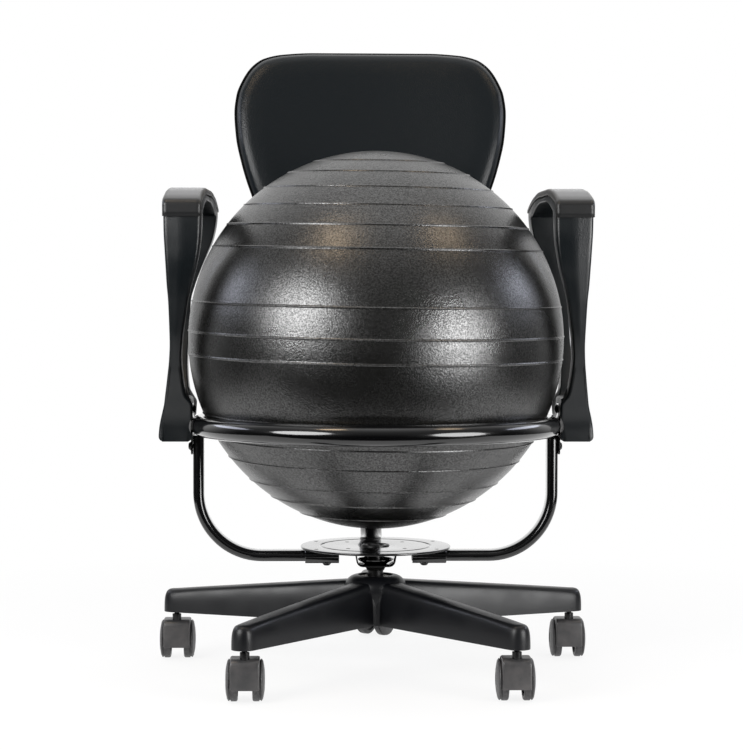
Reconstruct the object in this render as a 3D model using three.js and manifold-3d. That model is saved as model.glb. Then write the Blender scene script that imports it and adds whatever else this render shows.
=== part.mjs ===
// Balance ball chair: an inflated exercise ball carried on a steel ring, with loop
// armrests, a small padded back on a bar, and a five-star base on twin-wheel casters.
// Millimetres, +Z up, the sitter faces -Y. Every mesh is one closed solid.

import * as THREE from 'three';
import { mergeVertices } from 'three/addons/utils/BufferGeometryUtils.js';
import Module from 'manifold-3d';

const wasm = await Module();
wasm.setup();

// Clearances and shared small sizes
const seatGap = 0.3;          // between pieces that rest on each other
const slideGap = 0.4;         // round a tube in its socket, each side
const turnGap = 0.5;          // round a turning shaft, on the radius
const holeGap = 0.4;          // round a bolt shank, on the radius
const overrun = 2;            // how far a cutting body runs past its target
const weldTolerance = 0.0005; // vertices nearer than this are one vertex

// Exercise ball
const ballDiameter = 520;
const ballWall = 1.5;
const ballSink = 3.4;         // how deep the ring presses into the ball
const ballClearance = 27.56;  // seat plate up to the lowest point of the ball
const valveHoleClear = 0.5;   // round the stem of the plug, on the radius
const valveBossDiameter = 24;
const valveBossDepth = 5;
const plugHeadDiameter = 17;
const plugHeadThickness = 1.6;
const plugStemDiameter = 9;
const plugStemLength = 19;
const valveAzimuth = THREE.MathUtils.degToRad(60);
const valveLatitude = THREE.MathUtils.degToRad(18);

// Ring that carries the ball, with its welded plates
const ringInset = 17;         // the ball's widest radius to the ring's centreline
const ringTubeDiameter = 28;
const ringTubeWall = 2;
const ringSeam = 0.6;         // the butted tube ends at the rear
const plateWidth = 28;
const plateGauge = 2.5;
const plateHeadMargin = 8;    // armrest bolt up to the head of a welded plate
const plateBoltMargin = 11;   // frame bolt down to the foot of a welded plate
const ringPlateInset = 10.6;  // ring centreline to the inner face of a welded plate

// Flat-oval frame tubes
const barWidth = 32;
const barDepth = 15;
const barWall = 1.5;
const bendRadius = 88;

// Rear bar that also carries the back
const rearBarSetback = 25;    // ring centreline to bar centreline
const rearLeanRise = 54;      // ring centre up to the start of the lean
const rearLeanHeight = 174;
const rearLeanReach = 66;
const rearBendRadius = 70;
const rearBarReach = 78;      // bracket centre up to the top of the bar
const backLean = THREE.MathUtils.degToRad(5);

// Round seat plate, its sockets and the saddle bracket under it
const plateDiameter = 209;
const plateThickness = 3;
const saddleRise = 13;        // top of the hub up to the underside of the saddle
const plateBoreDiameter = 39;
const plateGrooveRadius = 75;
const plateGrooveWidth = 2.4;
const plateGrooveDepth = 1;
const plateHoleDiameter = 6;
const plateHoleMargin = 9;    // rim to the centre of the outer holes
const plateInnerHoleRadius = 55;
const socketLength = 47;
const socketWall = 2.5;
const socketMargin = 6.5;     // plate rim to the mouth of a socket
const socketBoltInset = 30;   // socket mouth to its bolt
const tubeEndInset = 5;       // inner end of a socket to the end of its tube
const saddleWidth = 60;
const saddleFloorWidth = 52;
const saddleDepth = 50;
const saddleDrop = 24.8;
const saddleGauge = 2.2;
const saddleCorner = 8;

// Bolts
const boltShankDiameter = 6;
const boltHeadDiameter = 12.4;
const boltHeadHeight = 3.8;
const ringBoltMargin = 9;     // foot of an armrest down to the frame bolt
const armBoltRise = 22;       // ring centre to the armrest bolt above it
const armBoltLength = 27;
const frameBoltLength = 11;

// Swivel column
const spindleDiameter = 22;
const spindleTailDiameter = 10;
const spindleTailLength = 8;
const shaftChamfer = 1.25;
const columnTubeDiameter = 34;
const columnTubeWall = 3;
const columnFloor = 3;
const columnBottom = 74;
const bushFlange = 2.4;
const bushFlangeDiameter = 44;
const bearingThickness = 5;
const clipThickness = 1.4;
const clipWidth = 3.4;
const clipGrooveDepth = 1;
const clipOpening = THREE.MathUtils.degToRad(50);
const taperTopDiameter = 30;
const taperBottomDiameter = 24.5;
const taperHeight = 6.5;
const centreRingRise = 1.2;
const centreRingThickness = 6;

// Five-star base
const starArms = 5;
const stemCircleRadius = 297;
const hubDiameter = 88;
const hubFootDiameter = 78;
const hubBottom = 72;
const hubShoulder = 118;
const hubTop = 134.7;
const hubCrownDiameter = 62;
const hubRecessDiameter = 48;
const hubRecessDepth = 5;
const armRootTop = 128;
const armRootBottom = 69;
const armRootWidth = 46;
const armRootRadius = 24;
const tipDiameter = 32;
const tipHeight = 32.3;
const tipOverhang = 2;
const tipShoulder = 9;
const starWall = 3.5;
const starRibGauge = 3;
const starRibs = 3;

// Casters
const wheelDiameter = 55;
const wheelFacets = 16;
const wheelGap = 19.4;
const treadWidth = 12.4;
const wheelBulge = 3.2;
const wheelEdge = 2;
const casterAxleDiameter = 6;
const casterAxleEnd = 9;      // how far the axle reaches into each wheel
const casterAxleEndGap = 1.2; // end of the axle to the end of its bore
const casterTrail = 20;
const rearCasterTurn = THREE.MathUtils.degToRad(-30);
const casterTurns = [0, 0, rearCasterTurn, 0, 0];
const hoodWidth = 38;
const hoodClear = 0.6;
const hoodWall = 1.5;
const hoodSkirt = 18.2;       // floor to the lower edge of the hood
const hoodNoseClear = 3;      // front of the wheel to the front face of the hood
const hoodCorner = 11;
const hoodTail = THREE.MathUtils.degToRad(20);
const hoodHeel = 9.2;         // wheel axis back to the foot of the web
const casterNeckDiameter = 12.6;
const casterNeckHeight = 8.3;
const casterTipGap = 3.9;       // neck to the underside of the star arm
const stemDiameter = 11;
const stemLength = 26;
const stemWaistDiameter = 6.4;
const stemFootDiameter = 8;
const stemFootDepth = 14;
const gripRingLip = 0.5;      // how far the grip ring stands out from its stem
const gripRingHeight = 3;
const gripRingDrop = 6;       // top of the stem to the foot of the grip ring
const stemChamfer = 1.8;
const webGap = 0.6;           // wheel face to the centre web of the hood

// Armrests
const armFootDrop = 21;       // ring centre down to the foot of an armrest
const armOpeningRise = 40;    // ring centre up to the floor of the opening
const armCrestRise = 317.2;     // ring centre up to the top of the bar under the pad
const armFlareDrop = 8;       // that top down to where the flare shares reach one
const armInset = 6.8;         // ring centreline in to the inner face at the top
const armTopWidth = 50.1;
const armFootFlare = 13;    // how far the foot stands out beyond the top
const armFrontReach = 125;    // swivel axis to the front of the loop
const armRearReach = 135;
const armFootReach = 44;
const armOpeningCorner = 11;
const armStrutDepth = 32;
const armBarDepth = 8;
const ringNotchGap = 4;
const padThickness = 8.7;
const padOverhang = 1;
const padLip = 16.4;            // how far the nose hangs below the end of the arch
const padEdge = 6;
const padNoseDepth = 7;       // how far the nose stands in front of the loop
const archDrop = 18;          // from the crest of the armrest to its ends

// Back
const backWidth = 415;
const backHeight = 306;
const backRise = 172.6;      // top of the ball up to the top of the back
const backWrap = 24;          // how far the sides come forward
const backLumbar = 10;        // how far the lower middle comes forward
const lumbarDrop = 50;        // middle of the back down to the fullest part
const lumbarSpread = 100;
const padDepth = 38;
const shellGauge = 5;
const shellRim = 3.5;
const bossMargin = 4;         // bracket flange edge to the edge of the shell's boss
const shellLip = 9.5;         // how far the shell's rim stands forward round the pad
const bracketHeight = 96;
const bracketWall = 3;
const bracketFlangeWidth = 92;
const bracketFlangeGauge = 3;
const bracketDrop = 17;       // middle of the back down to the middle of its bracket
const knobDiameter = 44;
const knobLength = 20;
const knobLobes = 5;
const knobLobeDepth = 3;
const knobScrewDiameter = 10;
const knobStandoff = 6;

// Facet counts
const ballFacets = 32;
const tubeSides = 10;
const boreSides = 6;
const rodSides = 12;
const boltSides = 8;
const columnFacets = 16;
const discFacets = 30;
const hubFacets = 24;
const bendSteps = 6;
const panelSides = 36;

// Places worked out from the sizes above
const saddleBottom = hubTop + saddleRise;
const plateBottom = saddleBottom + saddleDrop;
const plateTop = plateBottom + plateThickness;
const ballRadius = ballDiameter / 2;
const ringRadius = ballRadius - ringInset;
const ringTubeRadius = ringTubeDiameter / 2;
const valveHoleDiameter = plugStemDiameter + 2 * valveHoleClear;
const ballRise = Math.sqrt((ballRadius + ringTubeRadius - ballSink) ** 2 - ringRadius ** 2);
const ringHeight = plateTop + ballClearance + ballRadius - ballRise;
const ringBoltDrop = armFootDrop + ringBoltMargin;
const plateDrop = ringBoltDrop + plateBoltMargin;
const plateRise = armBoltRise + plateHeadMargin;
const plateRadius = plateDiameter / 2;
const socketTop = plateBottom - seatGap;
const socketOuterDepth = barDepth + 2 * (slideGap + socketWall);
const socketOuterWidth = barWidth + 2 * (slideGap + socketWall);
const barHeight = socketTop - socketOuterDepth / 2;
const socketBottom = socketTop - socketOuterDepth;
const socketMouth = plateRadius - socketMargin;
const socketHeel = socketMouth - socketLength;
const sideBarRadius = ringRadius + ringPlateInset - seatGap - barDepth / 2;
const rearBarRadius = ringRadius + rearBarSetback;
const rearLeanStart = ringHeight + rearLeanRise;
const rearLeanEnd = rearLeanStart + rearLeanHeight;
const boltShankRadius = boltShankDiameter / 2;
const boltHoleRadius = boltShankRadius + holeGap;
const spindleRadius = spindleDiameter / 2;
const bearingBottom = columnBottom + columnFloor + seatGap;
const spindleBottom = bearingBottom + bearingThickness + seatGap;
const wheelRadius = wheelDiameter / 2;
const wheelFlatShare = Math.cos(Math.PI / wheelFacets);
const wheelVertexRadius = wheelRadius / wheelFlatShare;
const hoodPocketRadius = (wheelVertexRadius + hoodClear) / wheelFlatShare;
const hoodRadius = hoodPocketRadius + hoodWall;
const gripRingDiameter = stemDiameter + 2 * gripRingLip;
const hoodNose = wheelRadius - casterTrail + hoodNoseClear;
const neckTop = wheelRadius + hoodRadius + casterNeckHeight;
const tipBottom = neckTop + casterTipGap;
const tipTop = tipBottom + tipHeight;
const armBottom = ringHeight - armFootDrop;
const armOpeningFloor = ringHeight + armOpeningRise;
const armCrest = ringHeight + armCrestRise;
const armFlareTop = armCrest - armFlareDrop;
const armInnerTop = ringRadius - armInset;
const armOuterTop = armInnerTop + armTopWidth;
const armOuterFoot = armOuterTop + armFootFlare;
const backTop = ringHeight + ballRise + ballRadius + backRise;
const backBottom = backTop - backHeight;
const backCentreHeight = (backTop + backBottom) / 2;
const bracketCentreHeight = backCentreHeight - bracketDrop;
const rearBarTop = bracketCentreHeight + rearBarReach;

// Turn a three.js geometry into a closed manifold solid
function solid(geometry) {
  const bare = geometry.clone();
  bare.deleteAttribute('normal');
  bare.deleteAttribute('uv');
  const merged = mergeVertices(bare, weldTolerance);
  const vertProperties = new Float32Array(merged.attributes.position.array);
  const triVerts = new Uint32Array(merged.index.array);
  return new wasm.Manifold(new wasm.Mesh({ numProp: 3, vertProperties, triVerts }));
}

// Turn a manifold solid back into a three.js geometry
function geometryOf(manifold) {
  const mesh = manifold.getMesh();
  const points = new Float32Array((mesh.vertProperties.length / mesh.numProp) * 3);
  for (let i = 0, k = 0; i < mesh.vertProperties.length; i += mesh.numProp) {
    for (let j = 0; j < 3; j += 1) {
      points[k] = mesh.vertProperties[i + j];
      k += 1;
    }
  }
  const geometry = new THREE.BufferGeometry();
  geometry.setAttribute('position', new THREE.BufferAttribute(points, 3));
  geometry.setIndex(new THREE.BufferAttribute(new Uint32Array(mesh.triVerts), 1));
  geometry.computeVertexNormals();
  return geometry;
}

function cut(body, ...tools) {
  let result = solid(body);
  for (const tool of tools) result = result.subtract(solid(tool));
  return geometryOf(result);
}

function join(first, ...others) {
  let result = solid(first);
  for (const other of others) result = result.add(solid(other));
  return geometryOf(result);
}

function common(first, second) {
  return geometryOf(solid(first).intersect(solid(second)));
}

// A body turned about Z from (radius, height) points, listed anticlockwise
function turned(points, facets, start = 0) {
  const profile = points.map(([r, z]) => new THREE.Vector2(r, z));
  const geometry = new THREE.LatheGeometry(profile, facets, start);
  return geometry.rotateX(Math.PI / 2);
}

function closedTurned(points, facets, start = 0) {
  return turned([...points, points[0]], facets, start);
}

// A round rod along Z, from one height to another
function rodZ(radius, low, high, sides = rodSides) {
  const geometry = new THREE.CylinderGeometry(radius, radius, high - low, sides);
  return geometry.rotateX(Math.PI / 2).translate(0, 0, (low + high) / 2);
}

function rodX(radius, low, high, y, z, sides = rodSides) {
  const geometry = new THREE.CylinderGeometry(radius, radius, high - low, sides);
  return geometry.rotateZ(Math.PI / 2).translate((low + high) / 2, y, z);
}

function rodY(radius, low, high, x, z, sides = rodSides) {
  const geometry = new THREE.CylinderGeometry(radius, radius, high - low, sides);
  return geometry.translate(x, (low + high) / 2, z);
}

function box(lowX, highX, lowY, highY, lowZ, highZ) {
  const geometry = new THREE.BoxGeometry(highX - lowX, highY - lowY, highZ - lowZ);
  return geometry.translate((lowX + highX) / 2, (lowY + highY) / 2, (lowZ + highZ) / 2);
}

function shapeOf(points) {
  return new THREE.Shape(points.map(([a, b]) => new THREE.Vector2(a, b)));
}

// An outline in (Y, Z), extruded along X
function slabX(points, low, high, hole) {
  const shape = shapeOf(points);
  if (hole) shape.holes.push(shapeOf(hole));
  const geometry = new THREE.ExtrudeGeometry(shape, { depth: high - low, bevelEnabled: false });
  const turn = new THREE.Matrix4().set(0, 0, 1, low, 1, 0, 0, 0, 0, 1, 0, 0, 0, 0, 0, 1);
  return geometry.applyMatrix4(turn);
}

// An outline in (X, Z), extruded along Y
function slabY(points, low, high, hole) {
  const shape = shapeOf(points);
  if (hole) shape.holes.push(shapeOf(hole));
  const geometry = new THREE.ExtrudeGeometry(shape, { depth: high - low, bevelEnabled: false });
  return geometry.rotateX(Math.PI / 2).translate(0, high, 0);
}

// An outline in (X, Y), extruded along Z
function slabZ(points, low, high, hole) {
  const shape = shapeOf(points);
  if (hole) shape.holes.push(shapeOf(hole));
  const geometry = new THREE.ExtrudeGeometry(shape, { depth: high - low, bevelEnabled: false });
  return geometry.translate(0, 0, low);
}

// A closed skin over rings of points, each ring with as many points, anticlockwise when
// looked at from outside the first end; both ends are capped
function loft(rings) {
  const count = rings[0].length;
  const points = [];
  for (const ring of rings) for (const p of ring) points.push(p[0], p[1], p[2]);
  const faces = [];
  for (let r = 0; r + 1 < rings.length; r += 1) {
    for (let i = 0; i < count; i += 1) {
      const a = r * count + i;
      const b = r * count + ((i + 1) % count);
      faces.push(a, a + count, b + count, a, b + count, b);
    }
  }
  const last = (rings.length - 1) * count;
  for (let i = 1; i + 1 < count; i += 1) {
    faces.push(0, i, i + 1);
    faces.push(last, last + i + 1, last + i);
  }
  const geometry = new THREE.BufferGeometry();
  geometry.setAttribute('position', new THREE.Float32BufferAttribute(points, 3));
  geometry.setIndex(faces);
  return geometry;
}

// Points of an arc, from one angle to another, both ends included
function arc(centreA, centreB, radius, from, to, steps) {
  const points = [];
  for (let i = 0; i <= steps; i += 1) {
    const angle = from + ((to - from) * i) / steps;
    points.push([centreA + radius * Math.cos(angle), centreB + radius * Math.sin(angle)]);
  }
  return points;
}

// A flat-oval outline, its long side along the second axis
function oval(width, depth, steps = 4) {
  const end = depth / 2;
  const reach = width / 2 - end;
  return [
    ...arc(0, reach, end, 0, Math.PI, steps),
    ...arc(0, -reach, end, Math.PI, 2 * Math.PI, steps),
  ];
}

// A route that passes through its stations, with the mean direction at each
class Route extends THREE.Curve {
  constructor(stations) {
    super();
    this.stations = stations;
  }

  getUtoTmapping(u) {
    return u;
  }

  getPoint(t, target = new THREE.Vector3()) {
    const place = Math.min(Math.max(t, 0), 1) * (this.stations.length - 1);
    const i = Math.min(Math.floor(place), this.stations.length - 2);
    return target.lerpVectors(this.stations[i], this.stations[i + 1], place - i);
  }

  getTangent(t, target = new THREE.Vector3()) {
    const last = this.stations.length - 1;
    const i = Math.round(t * last);
    const ahead = this.stations[Math.min(i + 1, last)].clone().sub(this.stations[i]).normalize();
    const behind = this.stations[i].clone().sub(this.stations[Math.max(i - 1, 0)]).normalize();
    return target.copy(ahead).add(behind).normalize();
  }
}

// Stations along straight runs with a round bend at each inner corner
function bentRun(corners, radii) {
  const stations = [corners[0]];
  for (let i = 1; i + 1 < corners.length; i += 1) {
    const back = corners[i - 1].clone().sub(corners[i]).normalize();
    const on = corners[i + 1].clone().sub(corners[i]).normalize();
    const half = back.angleTo(on) / 2;
    const radius = radii[i - 1];
    const toCentre = back.clone().add(on).normalize().multiplyScalar(radius / Math.sin(half));
    const centre = corners[i].clone().add(toCentre);
    const start = corners[i].clone().addScaledVector(back, radius / Math.tan(half)).sub(centre);
    const end = corners[i].clone().addScaledVector(on, radius / Math.tan(half)).sub(centre);
    const sweep = start.angleTo(end);
    const axis = start.clone().cross(end).normalize();
    const steps = Math.max(2, Math.ceil((bendSteps * sweep) / (Math.PI / 2)));
    for (let k = 0; k <= steps; k += 1) {
      stations.push(start.clone().applyAxisAngle(axis, (sweep * k) / steps).add(centre));
    }
  }
  stations.push(corners[corners.length - 1]);
  return stations;
}

// A hollow tube of the given outline along its stations
function tubeAlong(stations, outline, bore) {
  const shape = shapeOf(outline);
  shape.holes.push(shapeOf(bore));
  const options = { steps: stations.length - 1, extrudePath: new Route(stations) };
  return new THREE.ExtrudeGeometry(shape, { ...options, bevelEnabled: false });
}

function circle(radius, sides) {
  return arc(0, 0, radius, 0, 2 * Math.PI, sides).slice(0, sides);
}

// A button-head bolt along Z, its bearing face at height zero and its head above
function buttonBolt(shankLength) {
  const headRadius = boltHeadDiameter / 2;
  const domeShares = [[1, 0], [0.88, 0.6], [0.55, 0.92], [0.3, 1]];
  const head = domeShares.map(([r, z]) => [headRadius * r, boltHeadHeight * z]);
  const socketRadius = headRadius * domeShares[domeShares.length - 1][0];
  const socketFloor = boltHeadHeight / 2;
  return turned([
    [0, -shankLength],
    [boltShankRadius, -shankLength],
    [boltShankRadius, 0],
    ...head,
    [socketRadius, socketFloor],
    [0, socketFloor],
  ], boltSides);
}

function finish(name, geometry, colour, roughness, metalness) {
  const material = new THREE.MeshStandardMaterial({ color: colour, roughness, metalness });
  const mesh = new THREE.Mesh(geometry, material);
  mesh.name = name;
  return mesh;
}

const glossBlack = (name, geometry) => finish(name, geometry, '#101011', 0.18, 0.3);
const satinNylon = (name, geometry) => finish(name, geometry, '#1d1e20', 0.5, 0);
const blackPlastic = (name, geometry) => finish(name, geometry, '#191a1c', 0.42, 0);
const softGrip = (name, geometry) => finish(name, geometry, '#222326', 0.6, 0);
const greyNylon = (name, geometry) => finish(name, geometry, '#55565a', 0.5, 0);
const zincSteel = (name, geometry) => finish(name, geometry, '#9a9c9e', 0.35, 1);
const blackSteel = (name, geometry) => finish(name, geometry, '#141415', 0.35, 0.6);
const acetal = (name, geometry) => finish(name, geometry, '#d8d6cf', 0.5, 0);
const ballVinyl = (name, geometry) => finish(name, geometry, '#3a3a38', 0.45, 0);
const leatherette = (name, geometry) => finish(name, geometry, '#1a1c1f', 0.55, 0);

// The ball: a thin inflated shell with the hollow that the ring presses into it
function ballGeometry() {
  const seatRadius = ringTubeRadius + seatGap;
  const seatFacets = 4;
  const meridianSteps = ballFacets / 2;
  const ringDistance = Math.hypot(ringRadius, ballRise);
  const ringAngle = Math.atan2(-ballRise, ringRadius);
  const halfAcross = Math.acos(
    (ballRadius ** 2 + ringDistance ** 2 - seatRadius ** 2) / (2 * ballRadius * ringDistance),
  );
  const low = ringAngle - halfAcross;
  const high = ringAngle + halfAcross;
  const span = (from, to, steps) => arc(0, 0, ballRadius, from, to, steps);
  const edge = (angle) => [ballRadius * Math.cos(angle), ballRadius * Math.sin(angle)];
  const towards = ([r, z]) => Math.atan2(z + ballRise, r - ringRadius);
  let seatFrom = towards(edge(low));
  let seatTo = towards(edge(high));
  if (seatFrom < 0) seatFrom += 2 * Math.PI;
  if (seatTo < 0) seatTo += 2 * Math.PI;
  const seat = arc(ringRadius, -ballRise, seatRadius, seatFrom, seatTo, seatFacets);
  const step = Math.PI / meridianSteps;
  const lowSteps = Math.round((low + Math.PI / 2) / step);
  const highSteps = Math.round((Math.PI / 2 - high) / step);
  const outer = [
    ...span(-Math.PI / 2, low, lowSteps).slice(0, -1),
    ...seat,
    ...span(high, Math.PI / 2, highSteps).slice(1),
  ];
  const onAxis = ([r, z]) => [Math.abs(r) < weldTolerance ? 0 : r, z];
  const inner = outer.map(([r, z]) => {
    const share = 1 - ballWall / Math.hypot(r, z);
    return [r * share, z * share];
  });
  const shell = solid(turned(outer.map(onAxis), ballFacets));
  const hollow = solid(turned(inner.map(onAxis), ballFacets));
  const bossLow = ballRadius - ballWall - valveBossDepth;
  const boss = solid(rodZ(valveBossDiameter / 2, bossLow, ballRadius - ballWall).applyMatrix4(valveTurn()));
  const hole = rodZ(valveHoleDiameter / 2, bossLow - overrun, ballRadius + overrun);
  const wall = shell.subtract(hollow).add(boss);
  return geometryOf(wall.subtract(solid(hole.applyMatrix4(valveTurn()))));
}

// Turns +Z onto the direction of the ball's valve
function valveTurn() {
  const direction = new THREE.Vector3(
    Math.cos(valveLatitude) * Math.cos(valveAzimuth),
    Math.cos(valveLatitude) * Math.sin(valveAzimuth),
    Math.sin(valveLatitude),
  );
  const turn = new THREE.Quaternion().setFromUnitVectors(new THREE.Vector3(0, 0, 1), direction);
  return new THREE.Matrix4().makeRotationFromQuaternion(turn);
}

function plugGeometry() {
  const headRadius = plugHeadDiameter / 2;
  const stemRadius = plugStemDiameter / 2;
  const bottom = ballRadius + seatGap;
  const tipShare = 0.7;
  return turned([
    [0, bottom - plugStemLength],
    [stemRadius * tipShare, bottom - plugStemLength],
    [stemRadius, bottom - plugStemLength * tipShare],
    [stemRadius, bottom],
    [headRadius, bottom],
    [headRadius * tipShare, bottom + plugHeadThickness],
    [0, bottom + plugHeadThickness],
  ], rodSides).applyMatrix4(valveTurn());
}

// The ring tube with its seam at the rear, and the three plates welded to it
function ringGeometry() {
  const gapAngle = ringSeam / ringRadius;
  const from = Math.PI / 2 + gapAngle / 2;
  const to = Math.PI / 2 + 2 * Math.PI - gapAngle / 2;
  const stations = arc(0, 0, ringRadius, from, to, ballFacets)
    .map(([x, y]) => new THREE.Vector3(x, y, ringHeight));
  const tube = tubeAlong(stations, circle(ringTubeRadius, tubeSides),
    circle(ringTubeRadius - ringTubeWall, boreSides));
  const half = plateWidth / 2;
  const inner = ringRadius + ringPlateInset;
  const low = ringHeight - plateDrop;
  const boltLow = ringHeight - ringBoltDrop;
  const boltHigh = ringHeight + armBoltRise;
  let body = solid(tube);
  for (const side of [-1, 1]) {
    const near = side * inner;
    const far = side * (inner + plateGauge);
    const [a, b] = [Math.min(near, far), Math.max(near, far)];
    body = body.add(solid(box(a, b, -half, half, low, ringHeight + plateRise)));
    for (const z of [boltLow, boltHigh]) {
      body = body.subtract(solid(rodX(boltHoleRadius, a - overrun, b + overrun, 0, z)));
    }
  }
  const rearFace = rearBarRadius - barDepth / 2 - seatGap;
  body = body.add(solid(box(-half, half, inner, rearFace, low, ringHeight)));
  const rearHole = rodY(boltHoleRadius, inner - overrun, rearFace + overrun, 0, boltLow);
  return geometryOf(body.subtract(solid(rearHole)));
}

// A J-shaped side tube: out of its socket, round the bend and up to the ring
function sideTubeGeometry(side) {
  const top = ringHeight - ringTubeRadius - seatGap;
  const start = socketHeel + tubeEndInset;
  const corners = [
    new THREE.Vector3(side * start, 0, barHeight),
    new THREE.Vector3(side * sideBarRadius, 0, barHeight),
    new THREE.Vector3(side * sideBarRadius, 0, top),
  ];
  const tube = tubeAlong(bentRun(corners, [bendRadius]), oval(barWidth, barDepth),
    oval(barWidth - 2 * barWall, barDepth - 2 * barWall));
  const faceX = side * sideBarRadius;
  const wallX = side * (sideBarRadius + barDepth / 2 + overrun);
  const [a, b] = [Math.min(faceX, wallX), Math.max(faceX, wallX)];
  const ringHole = rodX(boltHoleRadius, a, b, 0, ringHeight - ringBoltDrop);
  const socketHole = rodZ(boltHoleRadius, barHeight - barDepth / 2 - overrun, barHeight);
  socketHole.translate(side * (socketMouth - socketBoltInset), 0, 0);
  return cut(tube, ringHole, socketHole);
}

// The rear tube: up behind the ring, then back and up to carry the back
function rearTubeGeometry() {
  const leanFoot = rearBarRadius + rearLeanReach;
  const tilt = (rearBarTop - rearLeanEnd) * Math.tan(backLean);
  const corners = [
    new THREE.Vector3(0, socketHeel + tubeEndInset, barHeight),
    new THREE.Vector3(0, rearBarRadius, barHeight),
    new THREE.Vector3(0, rearBarRadius, rearLeanStart),
    new THREE.Vector3(0, leanFoot, rearLeanEnd),
    new THREE.Vector3(0, leanFoot + tilt, rearBarTop),
  ];
  const run = bentRun(corners, [bendRadius, rearBendRadius, rearBendRadius]);
  const tube = tubeAlong(run, oval(barWidth, barDepth),
    oval(barWidth - 2 * barWall, barDepth - 2 * barWall));
  const half = barDepth / 2 + overrun;
  const ringHole = rodY(boltHoleRadius, rearBarRadius - half, rearBarRadius + half, 0,
    ringHeight - ringBoltDrop);
  const socketHole = rodZ(boltHoleRadius, barHeight - half, barHeight);
  socketHole.translate(0, socketMouth - socketBoltInset, 0);
  return cut(tube, ringHole, socketHole);
}

// A welded socket under the plate, made along +X
function socketGeometry() {
  const swap = ([a, b]) => [b, a + barHeight];
  const outer = oval(socketOuterWidth, socketOuterDepth).map(swap).reverse();
  const bore = oval(barWidth + 2 * slideGap, barDepth + 2 * slideGap).map(swap).reverse();
  const sleeve = slabX(outer, socketHeel, socketMouth, bore);
  const hole = rodZ(boltHoleRadius, socketBottom - overrun, barHeight);
  hole.translate(socketMouth - socketBoltInset, 0, 0);
  return cut(sleeve, hole);
}

function socketBoltGeometry() {
  const bolt = buttonBolt(frameBoltLength);
  bolt.rotateX(Math.PI);
  return bolt.translate(socketMouth - socketBoltInset, 0, socketBottom - seatGap);
}

// The round seat plate with its centre bore, ring groove and holes
function seatPlateGeometry() {
  const disc = closedTurned([
    [plateBoreDiameter / 2, plateBottom],
    [plateRadius, plateBottom],
    [plateRadius, plateTop],
    [plateGrooveRadius + plateGrooveWidth, plateTop],
    [plateGrooveRadius + plateGrooveWidth / 2, plateTop - plateGrooveDepth],
    [plateGrooveRadius, plateTop],
    [plateBoreDiameter / 2, plateTop],
  ], discFacets);
  const holes = [];
  const outerHoles = 6;
  const innerHoles = 4;
  const addHoles = (count, radius, start) => {
    for (let i = 0; i < count; i += 1) {
      const angle = start + (2 * Math.PI * i) / count;
      const hole = rodZ(plateHoleDiameter / 2, plateBottom - overrun, plateTop + overrun, boreSides);
      holes.push(hole.translate(radius * Math.cos(angle), radius * Math.sin(angle), 0));
    }
  };
  addHoles(outerHoles, plateRadius - plateHoleMargin, Math.PI / outerHoles);
  addHoles(innerHoles, plateInnerHoleRadius, Math.PI / innerHoles);
  return cut(disc, ...holes);
}

// The bent strap under the plate that holds the spindle
function saddleGeometry() {
  const strap = (inset, lift) => {
    const top = saddleWidth / 2 - inset;
    const floor = saddleFloorWidth / 2 - inset;
    const corner = saddleCorner - inset;
    const low = saddleBottom + lift;
    const bend = arc(floor - corner, low + corner, corner, -Math.PI / 2, 0, 3);
    const right = [...bend, [top, socketTop]];
    return [...right, ...right.map(([x, z]) => [-x, z]).reverse()];
  };
  const outer = strap(0, 0);
  const inner = strap(saddleGauge, saddleGauge);
  const half = saddleDepth / 2;
  const innerTall = inner.map(([x, z]) => [x, z >= socketTop ? z + overrun : z]);
  const hollow = slabY(innerTall, -half - overrun, half + overrun);
  const spindleHole = rodZ(spindleRadius + seatGap, saddleBottom - overrun,
    saddleBottom + saddleGauge + overrun, columnFacets);
  return cut(slabY(outer, -half, half), hollow, spindleHole);
}

// The flanged ring that centres the spindle in the plate
function centreRingGeometry() {
  const outer = plateBoreDiameter / 2 - seatGap;
  const top = plateTop + centreRingRise;
  return closedTurned([
    [spindleRadius + seatGap, top - centreRingThickness],
    [outer, top - centreRingThickness],
    [outer, top],
    [spindleRadius + seatGap, top],
  ], columnFacets);
}

function spindleGeometry() {
  const tail = spindleTailDiameter / 2;
  const tailEnd = spindleBottom - spindleTailLength - columnFloor - bearingThickness;
  const clipTop = columnBottom - seatGap;
  const clipLow = clipTop - clipThickness - 2 * seatGap;
  const chamfer = shaftChamfer;
  return turned([
    [0, tailEnd],
    [tail - chamfer, tailEnd],
    [tail, tailEnd + chamfer],
    [tail, clipLow],
    [tail - clipGrooveDepth, clipLow],
    [tail - clipGrooveDepth, clipTop],
    [tail, clipTop],
    [tail, spindleBottom],
    [spindleRadius, spindleBottom],
    [spindleRadius, plateTop - chamfer],
    [spindleRadius - chamfer, plateTop],
    [0, plateTop],
  ], columnFacets);
}

// The spring clip in the spindle's groove, open at one side
function clipGeometry() {
  const inner = spindleTailDiameter / 2 - clipGrooveDepth + seatGap;
  const outer = inner + clipWidth;
  const from = clipOpening / 2;
  const to = 2 * Math.PI - clipOpening / 2;
  const outline = [
    ...arc(0, 0, outer, from, to, rodSides),
    ...arc(0, 0, inner, to, from, rodSides),
  ];
  const top = columnBottom - 2 * seatGap;
  return slabZ(outline, top - clipThickness, top);
}

function columnTubeGeometry() {
  const outer = columnTubeDiameter / 2;
  const inner = outer - columnTubeWall;
  const top = hubTop - hubRecessDepth - seatGap;
  const floorBore = spindleTailDiameter / 2 + turnGap;
  return closedTurned([
    [floorBore, columnBottom],
    [outer, columnBottom],
    [outer, top],
    [inner, top],
    [inner, columnBottom + columnFloor],
    [floorBore, columnBottom + columnFloor],
  ], columnFacets);
}

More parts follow.
